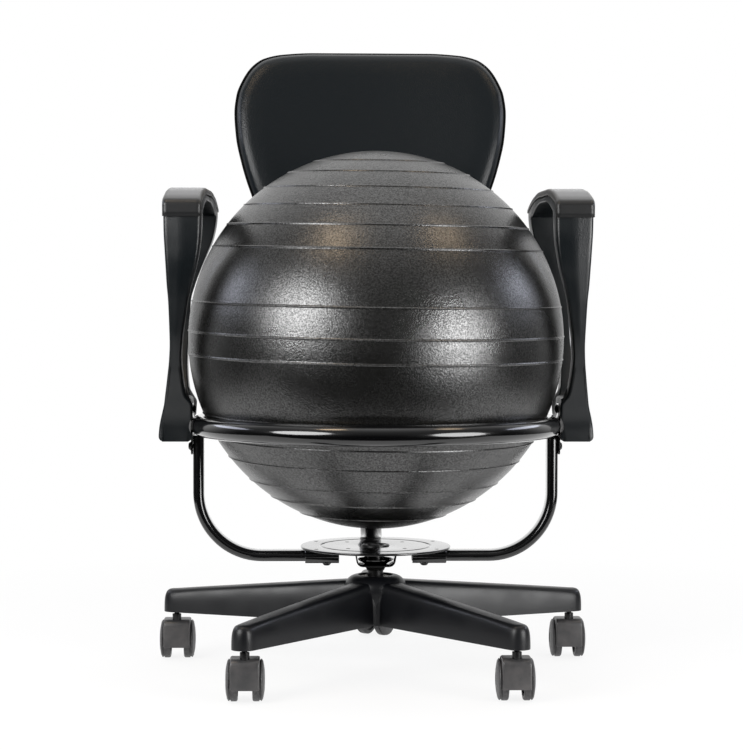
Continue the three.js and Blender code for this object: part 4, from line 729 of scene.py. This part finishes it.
ball_radius, ball_height = 260 * MM, 463.06 * MM
rib_height, rib_half_width = 1.2 * MM, 1.5 * MM
ribs = np.radians([-66.8, -56.7, -48.4, -39.1, -31.8, -23.7, -5.1, 1.9, 10.9, 28.7, 36.8, 44.6,
                   52.6, 61.2, 69.6])
ball_roll, ball_nod = math.radians(0.8), math.radians(1.2)
fine = np.linspace(-1, 1, 9) * 1.6 * rib_half_width / ball_radius
latitude = np.unique(np.concatenate([np.linspace(-np.pi / 2, np.pi / 2, 121),
                                     np.radians(np.linspace(-36, -18, 60)),
                                     (ribs[:, None] + fine).ravel()]))
beside_rib = np.abs(latitude[:, None] - ribs).min(1) * ball_radius / rib_half_width
swell = ball_radius + rib_height * np.exp(-beside_rib ** 2 * 2.5)
ball_grid = turned(np.stack([swell * np.cos(latitude), swell * np.sin(latitude)], 1), (0, 0, 0), 240)
roll = np.array([[math.cos(ball_roll), 0, math.sin(ball_roll)], [0, 1, 0],
                 [-math.sin(ball_roll), 0, math.cos(ball_roll)]])
nod = np.array([[1, 0, 0], [0, math.cos(ball_nod), -math.sin(ball_nod)],
                [0, math.sin(ball_nod), math.cos(ball_nod)]])
ball_grid = ball_grid @ roll.T @ nod.T
flat_radius = np.hypot(ball_grid[..., 0], ball_grid[..., 1])
away_out = flat_radius - ring_radius
away_up = ball_grid[..., 2] + ball_height - ring_height
away = np.hypot(away_out, away_up)
press = np.clip(ring_tube + 0.25 * MM - away, 0, None) / np.maximum(away, 1e-6)
ball_grid[..., :2] *= (1 + away_out * press / np.maximum(flat_radius, 1e-6))[..., None]
ball_grid[..., 2] += away_up * press
sag, sag_span = 3 * MM, 140 * MM
below_ring = np.clip((ring_height - ball_height - ball_grid[..., 2]) / sag_span, 0, 1)
ball_grid[..., 2] -= sag * below_ring ** 2
ball_grid += [0, axis_y, ball_height]

# Charcoal anti-burst PVC with a fine leather-like grain that glitters under a lamp. The real
# grain is about 1 mm, drawn at 2.2 mm so that it shows at this distance.
vinyl, shader, place = start_finish("charcoal_pvc_grained", "#0E0E0D", IOR=1.52)
grain = add_noise(place, 2.2 * MM, 2, Roughness=0.6)
vary(shader, "Roughness", add_noise(place, 70 * MM, 3), 0.25, 0.31)
vary(shader, "Specular IOR Level", grain, 0.5, 1.45, least=0.36, most=0.64)
emboss(shader, grain, 1.0, 0.35 * MM)
ball = make_piece("exercise_ball_inflated", vinyl, ball_grid, sharp=180)
replace_node(ball, "exercise_ball", "seat")

valve_longitude, valve_latitude = math.radians(60), math.radians(18)
outward = Vector((math.cos(valve_latitude) * math.cos(valve_longitude),
                  math.cos(valve_latitude) * math.sin(valve_longitude), math.sin(valve_latitude)))
plug_profile = eased(np.array([
    (0, 241.3), (2.6, 241.3), (3.2, 246), (4.3, 249), (3.4, 252), (4.3, 255), (3.6, 258),
    (4.2, 260.3), (8.5, 260.3), (8.3, 261.2), (6.2, 262), (5.6, 261.6), (4.4, 261.6), (3.8, 262.1),
    (0, 262.3)]) * MM, 0.35 * MM)
plug_grid = turned(plug_profile, (0, 0, 0), 56)
plug_turn = np.array(Vector((0, 0, 1)).rotation_difference(outward).to_matrix())
plug_grid = plug_grid @ plug_turn.T + [0, axis_y, ball_height]
# The plug is the same PVC without the grain.
plug_vinyl, shader, place = start_finish("charcoal_pvc_smooth", "#2C2C2B", Roughness=0.34,
                                         IOR=1.52)
emboss(shader, add_noise(place, 4 * MM, 3), 0.15, 0.2 * MM)
plug = make_piece("ball_plug_moulded", plug_vinyl, plug_grid)
replace_node(plug, "ball_plug", "plug")

# Armrests
# Each is one moulding in black glass-filled nylon: a foot that straddles the ring and is
# bolted to its plate, and a loop with a thin arched top that carries the pad.

# Satin black, with the same spark-eroded grain as the base but finer.
arm_nylon, shader, place = start_finish("black_nylon_fine_grain", "#0B1013", Roughness=0.34,
                                        IOR=1.52)
vary(shader, "Roughness", add_noise(place, 50 * MM, 3), 0.27, 0.4)
emboss(shader, add_noise(place, 1.3 * MM, 3), 0.8, 0.2 * MM)


def smooth(points, samples, closed=False):
    """A smooth line through the points, with so many samples from each to the next: a cubic
    whose slope at a point is the harmonic mean of the slopes beside it, or zero where they
    differ in sign, so that no coordinate swings past a point."""
    points = np.asarray(points, float)
    if closed:
        points = np.concatenate([points[-1:], points, points[:2]])
    else:
        points = np.concatenate([2 * points[:1] - points[1:2], points,
                                 2 * points[-1:] - points[-2:-1]])
    long = np.linalg.norm(np.diff(points, axis=0), axis=1)[:, None]
    slope = np.diff(points, axis=0) / long
    before, after = slope[:-1], slope[1:]
    total = np.where(np.abs(before + after) < 1e-12, 1, before + after)
    at = np.where(before * after > 0, 2 * before * after / total, 0)
    t = (np.arange(samples) / samples)[None, :, None]
    start, end = points[1:-2, None], points[2:-1, None]
    leave, arrive = (at[:-1] * long[1:-1])[:, None], (at[1:] * long[1:-1])[:, None]
    line = ((2 * t ** 3 - 3 * t ** 2 + 1) * start + (t ** 3 - 2 * t ** 2 + t) * leave
            + (3 * t ** 2 - 2 * t ** 3) * end + (t ** 3 - t ** 2) * arrive)
    return np.concatenate([line.reshape(-1, points.shape[1]), points[-2:-1]])


arm_foot, arm_tall = 323 * MM, 330.2 * MM
arm_front, arm_rear, arm_foot_reach = 125 * MM, 135 * MM, 44 * MM
arm_crest, arm_bar, arm_strut = 661.2 * MM, 8 * MM, 32 * MM
arm_inner, arm_top_width = 236.2 * MM, 50.1 * MM
arm_outer, arm_foot_flare = 286.3 * MM, 13 * MM
arch_drop = 18 * MM
opening_floor = 384 * MM

# The same shares as in the solid: height, then inner and outer side at the front and the rear.
flare_shares = smooth([
    (0, .315, 1, .315, 1), (.067, .315, .83, .315, .83), (.155, .3, .316, .3, .316),
    (.194, .475, .18, .475, .15), (.27, .551, -.111, .551, -.15), (.348, .585, -.37, .57, -.4),
    (.424, .535, -.47, .56, -.55), (.503, .445, -.45, .555, -.58), (.578, .355, -.41, .55, -.58),
    (.65, .245, -.28, .435, -.56), (.72, .126, -.2, .26, -.55), (.793, .046, -.11, .05, -.53),
    (.862, .012, -.03, -.128, -.5), (.959, 0, 0, -.2235, -.5), (1.05, 0, 0, -.2235, -.5)], 12)
arch_shares = [(1, 1), (.86, .66), (.6, .24), (.26, 0)]
loop_shares = [(0, 0), (.02, .06), (.16, .16), (.42, .3), (.66, .45), (.86, .62), (.97, .78),
               (1, .9)]


def arm_half(reach):
    """Paired points (y, z) of the outer outline and of the opening, from foot to crest."""
    outer = [(arm_foot_reach + (reach - arm_foot_reach) * s, arm_foot + arm_tall * h)
             for s, h in loop_shares]
    hole = [(28 * MM, opening_floor), (31 * MM, opening_floor + 3 * MM),
            (36 * MM, opening_floor + 13 * MM)] + [(y - arm_strut, z) for y, z in outer[3:]]
    outer += [(reach * y, arm_crest - arch_drop * drop) for y, drop in arch_shares]
    hole += [((reach - arm_strut) * y, arm_crest - arm_bar - arch_drop * drop)
             for y, drop in arch_shares]
    return np.concatenate([outer, hole], 1)


def arm_sides(y, z):
    """The inner and outer x of an armrest at points (y, z), from the table of shares."""
    height = (z - arm_foot) / arm_tall
    rear = np.clip((y + arm_front) / (arm_front + arm_rear), 0, 1)
    read = [np.interp(height, flare_shares[:, 0], flare_shares[:, k]) for k in range(1, 5)]
    inner = arm_inner + arm_top_width * (read[0] + (read[2] - read[0]) * rear)
    outer = arm_outer + arm_foot_flare * (read[1] + (read[3] - read[1]) * rear)
    return inner, outer


def rounded_square(near, far):
    """Columns (across, deep, turn_across, turn_deep) round a unit square with quarter-circle
    corners: the turns, times a corner's radius, are taken off the side's two distances. The
    radii are near on the outer face's corners and far on the opening's."""
    steps = 6
    angle = np.linspace(0, np.pi / 2, steps)
    fall_a, fall_b = 1 - np.sin(angle), 1 - np.cos(angle)
    corners = [(0, 0, fall_b, fall_a, near), (1, 0, -fall_a, fall_b, near),
               (1, 1, -fall_b, -fall_a, far), (0, 1, fall_a, -fall_b, far)]
    rows = []
    for across, deep, turn_across, turn_deep, radius in corners:
        rows.append(np.stack([np.full(steps, across), np.full(steps, deep),
                              turn_across * radius, turn_deep * radius], 1))
        if (across, deep) == (0, 0):
            spread = np.linspace(0, 1, 9)[1:-1]
            rows.append(np.stack([spread, 0 * spread, 0 * spread, 0 * spread], 1))
    rows = np.concatenate(rows)
    return np.concatenate([rows, rows[:1]])


rear_half, front_half = arm_half(arm_rear), arm_half(arm_front) * [-1, 1, -1, 1]
middle_top = np.array([[0, arm_crest, 0, arm_crest - arm_bar]])
middle_foot = np.array([[0, arm_foot, 0, opening_floor]])
arm_rows = smooth(np.concatenate([middle_foot, rear_half, middle_top, front_half[::-1]]), 12,
                  closed=True)
arm_near, arm_far = arm_rows[:, None, :2], arm_rows[:, None, 2:]
arm_depth = np.linalg.norm(arm_far - arm_near, axis=2)
across, deep, turn_across, turn_deep = rounded_square(4.4 * MM, 2 * MM).T
foot_span = 30 * MM          # over this height the foot's edges grow rounder towards the floor
foot_ease = 1 + 0.9 * np.clip(1 - (arm_rows[:, 1:2] - arm_foot) / foot_span, 0, 1)
turn_across, turn_deep = turn_across * foot_ease, turn_deep * foot_ease
level_share = deep + turn_deep / arm_depth
arm_yz = arm_near + (arm_far - arm_near) * level_share[..., None]
inner_x, outer_x = arm_sides(arm_yz[..., 0], arm_yz[..., 1])
arm_x = inner_x + (outer_x - inner_x) * across + turn_across
ridge_rise, ridge_from, ridge_span = 2.2 * MM, 430 * MM, 40 * MM
ridge = np.clip(1 - np.abs((arm_x - inner_x) / (outer_x - inner_x) - 0.5) * 2, 0, 1)
ridge = ridge * (deep == 0) * np.clip((arm_yz[..., 1] - ridge_from) / ridge_span, 0, 1)
outward = (arm_near - arm_far) / arm_depth[..., None]
flat_front = np.abs(outward[..., 0]) ** 3
arm_yz = arm_yz + outward * (ridge * flat_front * ridge_rise)[..., None]
arm_grid = np.stack([arm_x, arm_yz[..., 0] + axis_y, arm_yz[..., 1]], -1)

# Soft black polyurethane skin: matt, dry, with a fine leather grain.
soft_skin, shader, place = start_finish("black_polyurethane_skin", "#131415", Roughness=0.4,
                                        IOR=1.5, Sheen_Weight=0.3, Sheen_Roughness=0.4)
grain = add_node(place.id_data, "ShaderNodeTexVoronoi", {"Vector": place}, Scale=1 / (1.4 * MM))
emboss(shader, grain.outputs["Distance"], 0.25, 0.15 * MM)

pad_gap, pad_thick, pad_nose, pad_lip = 0.3 * MM, 8.7 * MM, 7 * MM, 16.4 * MM
pad_overhang = 1 * MM
arch_rear = [(arm_rear * y, arm_crest - arch_drop * drop + pad_gap) for y, drop in arch_shares]
arch_front = [(-arm_front * y, arm_crest - arch_drop * drop + pad_gap) for y, drop in arch_shares]
under = arch_rear + arch_front[::-1]
over = [(y, z + pad_thick) for y, z in under]
front_low, front_high = under[-1][1], over[-1][1]
face_y, back_y = -arm_front - pad_nose, -arm_front - pad_gap
lip_end = front_low - pad_lip
under += [(back_y, front_low - MM), (back_y, front_low - 4 * MM),
          (back_y, front_low - pad_lip * 0.6), (back_y, lip_end + MM)]
over += [(face_y + 2.4 * MM, front_high - 3.2 * MM), (face_y, front_high - 9 * MM),
         (face_y, front_low - pad_lip * 0.6), (face_y + 2.4 * MM, lip_end)]
pad_rows = smooth(np.concatenate([over, under], 1), 10)
pad_near, pad_far = pad_rows[:, None, :2], pad_rows[:, None, 2:]
pad_depth = np.linalg.norm(pad_far - pad_near, axis=2)
across, deep, turn_across, turn_deep = rounded_square(5.6 * MM, 1 * MM).T
pad_yz = pad_near + (pad_far - pad_near) * (deep + turn_deep / pad_depth)[..., None]
inner_x, outer_x = arm_sides(pad_yz[..., 0], np.full(pad_yz.shape[:2], arm_foot + arm_tall))
pad_x = (inner_x - pad_overhang) + (outer_x - inner_x + 2 * pad_overhang) * across + turn_across
pad_grid = closed_ends(np.stack([pad_x, pad_yz[..., 0] + axis_y, pad_yz[..., 1]], -1))

# The foot is open where it straddles the ring: a notch round the ring's tube, a way for the
# ring's plate, a wider way below the ring, and a bore for the bolt.
notch_gap, way_start, way_below = 4 * MM, 200 * MM, 9 * MM
bore_radius, bore_end, bolt_rise = 3.3 * MM, 280.8 * MM, 22 * MM
notch = ring_round(ring_tube + notch_gap)
block = np.array([(-1, -1), (1, -1), (1, 1), (-1, 1), (-1, -1)], float)
openings = []
for half, reach, top in ((14.3 * MM, 256.4 * MM, ring_height + 30.3 * MM),
                         (16.4 * MM, 253.7 * MM, ring_height)):
    middle, tall = (top + arm_foot - way_below) / 2, (top - arm_foot + way_below) / 2
    loop = block * [half, tall] + [0, middle]
    faces = [np.concatenate([np.full((5, 1), x), loop], 1) for x in (way_start, reach)]
    openings.append(closed_ends(np.stack(faces)))
bore_profile = [(0, way_start), (bore_radius, way_start), (bore_radius, bore_end), (0, bore_end)]
openings.append(turned(bore_profile, (0, 0, ring_height + bolt_rise), 32, "X"))
for label, side in (("right", 1), ("left", -1)):
    mirror = [side, 1, 1]
    armrest = make_piece(f"armrest_{label}_moulding", arm_nylon, arm_grid * mirror, sharp=30)
    tools = [make_piece("notch", arm_nylon, notch)]
    tools += [make_piece("way", arm_nylon, opening * mirror + swivel_axis) for opening in openings]
    cut_away(armrest, *tools)
    replace_node(armrest, f"armrest_{label}", "seat")

    pad = make_piece(f"armrest_pad_{label}_skin", soft_skin, pad_grid * mirror, sharp=50)
    replace_node(pad, f"armrest_pad_{label}", "seat")

# Back
# A foam pad in leatherette sits in a thin moulded shell. A steel sleeve whose flange is
# screwed to the shell slides on the rear tube, and a five-lobed knob clamps it.

back_tilt = math.radians(5)
hinge_y, hinge_z = 284.39 * MM, 725.66 * MM
back_turn = np.array([[1, 0, 0], [0, math.cos(back_tilt), math.sin(back_tilt)],
                      [0, -math.sin(back_tilt), math.cos(back_tilt)]])


def on_back(grid):
    """A grid in the back's own frame, tilted with the rear tube and set at the clamp."""
    return grid @ back_turn.T + [0, hinge_y, hinge_z]


panel_lift, panel_set = 17 * MM / math.cos(back_tilt), -19.2 * MM
back_half, back_tall = 207.5 * MM, 306 * MM
back_wrap, back_lumbar = 24 * MM, 10 * MM
lumbar_drop, lumbar_spread = 50 * MM, 100 * MM
outline_shares = np.array([
    (0, 0), (.36, .004), (.64, .04), (.79, .14), (.88, .28), (.945, .42), (.988, .56), (1, .68),
    (.985, .77), (.945, .842), (.875, .915), (.785, .96), (.65, .984), (.42, .997), (0, 1)])
right_side = outline_shares * [back_half, back_tall] - [0, back_tall / 2]
outline = smooth(np.concatenate([right_side, right_side[-2:0:-1] * [-1, 1]]), 9, closed=True)


def back_panel(rings):
    """Closed rings of (scale, forward) on the back's bent sheet, which wraps forward with the
    square of the distance from the middle and swells at the lumbar as a bell curve."""
    rings = np.asarray(rings, float)
    flat = outline[None] * rings[:, :1, None]
    wrap = back_wrap * (flat[..., 0] / back_half) ** 2
    swell = back_lumbar * np.exp(-((flat[..., 1] + lumbar_drop) / lumbar_spread) ** 2)
    depth = -wrap - swell - rings[:, 1:]
    return on_back(np.stack([flat[..., 0], depth + panel_set, flat[..., 1] + panel_lift], -1))


# Black leatherette: supple, a fine pebble grain over foam, with a low broad sheen.
leatherette, shader, place = start_finish("black_leatherette", "#0D1317", Roughness=0.34,
                                          IOR=1.45, Specular_IOR_Level=0.4)
grain = add_node(place.id_data, "ShaderNodeTexVoronoi", {"Vector": place}, Scale=1 / (1.8 * MM))
creases = add_noise(place, 7 * MM, 4)
mixed = add_node(place.id_data, "ShaderNodeMath", {0: grain.outputs["Distance"], 1: creases},
                 operation="ADD")
emboss(shader, mixed.outputs["Value"], 0.6, 0.3 * MM)

shell_rim, shell_lip, shell_gauge, pad_deep = 3.5 * MM, 9.5 * MM, 5 * MM, 38 * MM
pad_edge = 1 - shell_rim / back_half
crown_shares = np.array([(0, 1), (.5, .97), (.76, .91), (.9, .81), (.96, .68), (.99, .47),
                         (1, .26), (.985, .08)])
crown = smooth(crown_shares * [pad_edge, pad_deep] + [0, pad_gap], 8)
backing = [(.92, pad_gap), (.5, pad_gap), (0, pad_gap)]
back_pad = make_piece("back_pad_upholstered", leatherette,
                      back_panel(np.concatenate([crown, backing])), sharp=60)
replace_node(back_pad, "back_pad", "back")

# The shell is polypropylene moulded glossy: it mirrors softly at its rim.
shell_gloss, shader, place = start_finish("gloss_black_polypropylene", "#08090A", Roughness=0.2,
                                          IOR=1.49)
vary(shader, "Roughness", add_noise(place, 30 * MM, 3), 0.16, 0.26)

rim_in = (shell_rim - pad_gap) / back_half
rim_profile = eased([(0, 0), (.92, 0), (1 - rim_in, 0), (1 - rim_in, shell_lip), (1, shell_lip),
                     (1, -shell_gauge / 2), (.97, -shell_gauge), (.5, -shell_gauge),
                     (0, -shell_gauge)],
                    np.array([0, 0, .5, 1.6, 1.6, 2, 3, 0, 0]) * MM, steps=6)
boss_half, boss_tall, boss_corner, boss_front = 44 * MM, 46 * MM, 8 * MM, -6 * MM
boss_drop = 17 * MM
boss = rectangle(boss_half, -boss_tall, boss_tall, boss_corner)
boss_rings = []
for grow, depth in ((0, boss_front), (1, boss_front), (1, shell_gauge - MM), (.98, shell_gauge),
                    (0, shell_gauge)):
    loop = boss * grow
    boss_rings.append(np.stack([loop[:, 0], np.full(len(loop), depth + panel_set),
                                loop[:, 1] - boss_drop + panel_lift], -1))
shell = make_piece("back_shell_moulding", shell_gloss, back_panel(rim_profile),
                   on_back(np.stack(boss_rings)))
replace_node(shell, "back_shell", "back")

bracket_wall, slide_gap = 3 * MM, 0.4 * MM
bracket_half, flange_half = 48 * MM, 46 * MM
sleeve_outer, sleeve_bore = [oval(bar_width + 2 * grow, bar_depth + 2 * grow)
                             for grow in (bracket_wall + slide_gap, slide_gap)]
bracket_sleeve = sleeve(sleeve_outer, sleeve_bore, -bracket_half, bracket_half)[..., [1, 2, 0]]
flange_face = -(bar_depth / 2 + bracket_wall + slide_gap)
flange = slab(rectangle(flange_half, -bracket_half, bracket_half, 7 * MM),
              flange_face - bracket_wall, flange_face, 0.5 * MM)[..., [1, 0, 2]]
screw_head, screw_length = 5.5 * MM, 1.5 * MM
screw_heads = [button_bolt(screw_head, "Y", (x, flange_face, z), screw_length, 1)
               for x in (-34 * MM, 34 * MM) for z in (-32 * MM, 32 * MM)]
bracket = make_piece("back_bracket_welded", black_steel, on_back(bracket_sleeve), on_back(flange),
                     *[on_back(head) for head in screw_heads])
replace_node(bracket, "back_bracket", "back")

knob_lobe, knob_core, knob_rim = 3 * MM, 9 * MM, 20 * MM
knob_profile = eased(np.array([
    (0, 7.8), (5, 7.8), (5, 16.9), (16, 16.9), (21.6, 18.5), (22, 20.5), (22, 33.5), (20.5, 36.9),
    (9, 36.9), (8, 35.9), (0, 35.9)]) * MM, np.array([0, .3, .3, 1, 2, 1, 3, 2, .5, .5, 0]) * MM)
knob_grid = turned(knob_profile, (0, 0, 0), 120, "Y")
knob_angle = np.arctan2(knob_grid[..., 0], knob_grid[..., 2])
knob_far = np.hypot(knob_grid[..., 0], knob_grid[..., 2])
beyond_core = np.clip((knob_far - knob_core) / (knob_rim - knob_core), 0, 1)
dip = knob_lobe * (1 - np.cos(5 * knob_angle)) / 2 * beyond_core
shrink = 1 - dip / np.maximum(knob_far, MM)
knob_grid = knob_grid * np.stack([shrink, np.ones(shrink.shape), shrink], -1)
knob = make_piece("back_knob_moulding", arm_nylon, on_back(knob_grid))
replace_node(knob, "back_knob", "knob")

# Studio
# White paper that starts in front of the chair and runs up behind it, in a room that is dark
# towards the camera. Two broad oval softboxes stand in front, a dimmer panel stands on each
# side, and two small warm lamps hang above.

floor_finish, shader, place = start_finish("white_studio_paper", "#F4F4F4", Roughness=0.7)
tree = floor_finish.node_tree
ray = add_node(tree, "ShaderNodeLightPath").outputs
seen = add_node(tree, "ShaderNodeMath", {0: ray["Is Camera Ray"], 1: ray["Is Glossy Ray"]},
                operation="MAXIMUM")
seen = add_node(tree, "ShaderNodeMath", {0: seen.outputs["Value"], 1: ray["Is Transmission Ray"]},
                operation="MAXIMUM")
# The camera and the reflections see mostly the paper's own white. Near the chair a part of it
# stays lit paper, which keeps the shadow, and further off it is all white. From below and
# behind the paper is clear.
away = add_node(tree, "ShaderNodeVectorMath", {0: place}, operation="LENGTH")
shadow_reach, white_from = 0.5, 1.3
plain = add_node(tree, "ShaderNodeMapRange", {"Value": away.outputs["Value"]},
                 From_Min=shadow_reach, From_Max=white_from, To_Min=0.86, To_Max=1.0)
share = add_node(tree, "ShaderNodeMath", {0: seen.outputs["Value"], 1: plain.outputs["Result"]},
                 operation="MULTIPLY")
white = add_node(tree, "ShaderNodeEmission")
mixed = add_node(tree, "ShaderNodeMixShader", {0: share.outputs["Value"], 1: shader.outputs["BSDF"],
                                               2: white.outputs["Emission"]})
clear = add_node(tree, "ShaderNodeBsdfTransparent")
behind = add_node(tree, "ShaderNodeNewGeometry").outputs["Backfacing"]
sided = add_node(tree, "ShaderNodeMixShader", {0: behind, 1: mixed.outputs["Shader"],
                                               2: clear.outputs["BSDF"]})
tree.links.new(sided.outputs["Shader"], tree.nodes["Material Output"].inputs["Surface"])
paper_front, paper_back, paper_half, paper_top, paper_curve = -0.6, 2.2, 1.2, 3.2, 0.8
sweep = eased([(paper_front, 0), (paper_back, 0), (paper_back, paper_top)], paper_curve, steps=16)
paper = np.stack([np.stack([np.full(len(sweep), x), sweep[:, 0], sweep[:, 1]], -1)
                  for x in np.linspace(-paper_half, paper_half, 5)])
floor = make_piece("studio_paper", floor_finish, paper, sharp=180)
# Its faces point up and towards the chair, so only the other side is clear.
if floor.data.polygons[0].normal.z < 0:
    floor.data.flip_normals()

# The room is lit by height, from the stops of (height of the direction, brightness): those of
# the half behind the chair pass over into the darker ones towards the camera. The camera
# itself sees plain white.
world = bpy.data.worlds.new("studio_room")
bpy.context.scene.world = world
world.use_nodes = True
tree = world.node_tree
background = tree.nodes["Background"]
direction = add_node(tree, "ShaderNodeTexCoord").outputs["Generated"]
split = add_node(tree, "ShaderNodeSeparateXYZ", {"Vector": direction})
climb = add_node(tree, "ShaderNodeMapRange", {"Value": split.outputs["Z"]}, From_Min=-1)
behind_chair = ((-0.3, 0.1), (0, 0.5), (0.4, 1.0), (0.75, 1.4), (1, 1.35))
towards_camera = ((-0.2, 0.02), (0, 0.04), (0.29, 0.14), (0.53, 0.22), (0.73, 0.36),
                  (0.89, 0.75), (1, 1.25))
rooms = [add_ramp(climb.outputs["Result"], [((height + 1) / 2, [level] * 3) for height, level in stops])
         for stops in (behind_chair, towards_camera)]
front = add_node(tree, "ShaderNodeMapRange", {"Value": split.outputs["Y"]}, From_Min=0.7,
                 From_Max=0.0, interpolation_type="SMOOTHSTEP")
room = add_node(tree, "ShaderNodeMix", data_type="RGBA")
for socket, source in ((0, front.outputs["Result"]), (6, rooms[0]), (7, rooms[1])):
    tree.links.new(source, room.inputs[socket])
seen = add_node(tree, "ShaderNodeLightPath").outputs["Is Camera Ray"]
shown = add_node(tree, "ShaderNodeMix", data_type="RGBA")
shown.inputs[7].default_value = (1, 1, 1, 1)
tree.links.new(seen, shown.inputs[0])
tree.links.new(room.outputs[2], shown.inputs[6])
tree.links.new(shown.outputs[2], background.inputs["Color"])


def softbox(name, bearing, climb, distance, width, height, glow, tint="#FFFFFF"):
    """An oval area light that faces the ball: bearing and climb are its direction in degrees
    from the sitter's front and from level. A lamp of power P and area A glows with P / (pi A),
    so the power is the glow times pi times the oval's area."""
    lamp = bpy.data.lights.new(name, "AREA")
    lamp.shape, lamp.size, lamp.size_y = "ELLIPSE", width, height
    lamp.energy = glow * math.pi * math.pi / 4 * width * height
    lamp.color = hex_linear(tint)[:3]
    light = bpy.data.objects.new(name, lamp)
    bearing, climb = math.radians(bearing), math.radians(climb)
    outward = Vector((math.sin(bearing) * math.cos(climb), -math.cos(bearing) * math.cos(climb),
                      math.sin(climb)))
    turn = outward.to_track_quat("Z", "Y").to_matrix().to_4x4()
    target = Vector((0, axis_y, ball_height))
    light.matrix_world = Matrix.Translation(target + outward * distance) @ turn
    bpy.context.collection.objects.link(light)


softbox("softbox_left", -46, 14, 1.9, 1.25, 1.0, 9.8)
softbox("softbox_right", 47, 1, 1.9, 1.15, 1.05, 9.2)
softbox("panel_left", -104, 20, 1.9, 1.2, 0.4, 4.2, "#E9EEFF")
softbox("panel_right", 104, 20, 1.9, 1.2, 0.4, 4.2, "#E9EEFF")
softbox("lamp_left", -40, 57, 2.0, 0.45, 0.45, 8.5, "#FFE0B8")
softbox("lamp_right", 64, 54, 2.0, 0.45, 0.45, 5.5, "#FFE0B8")
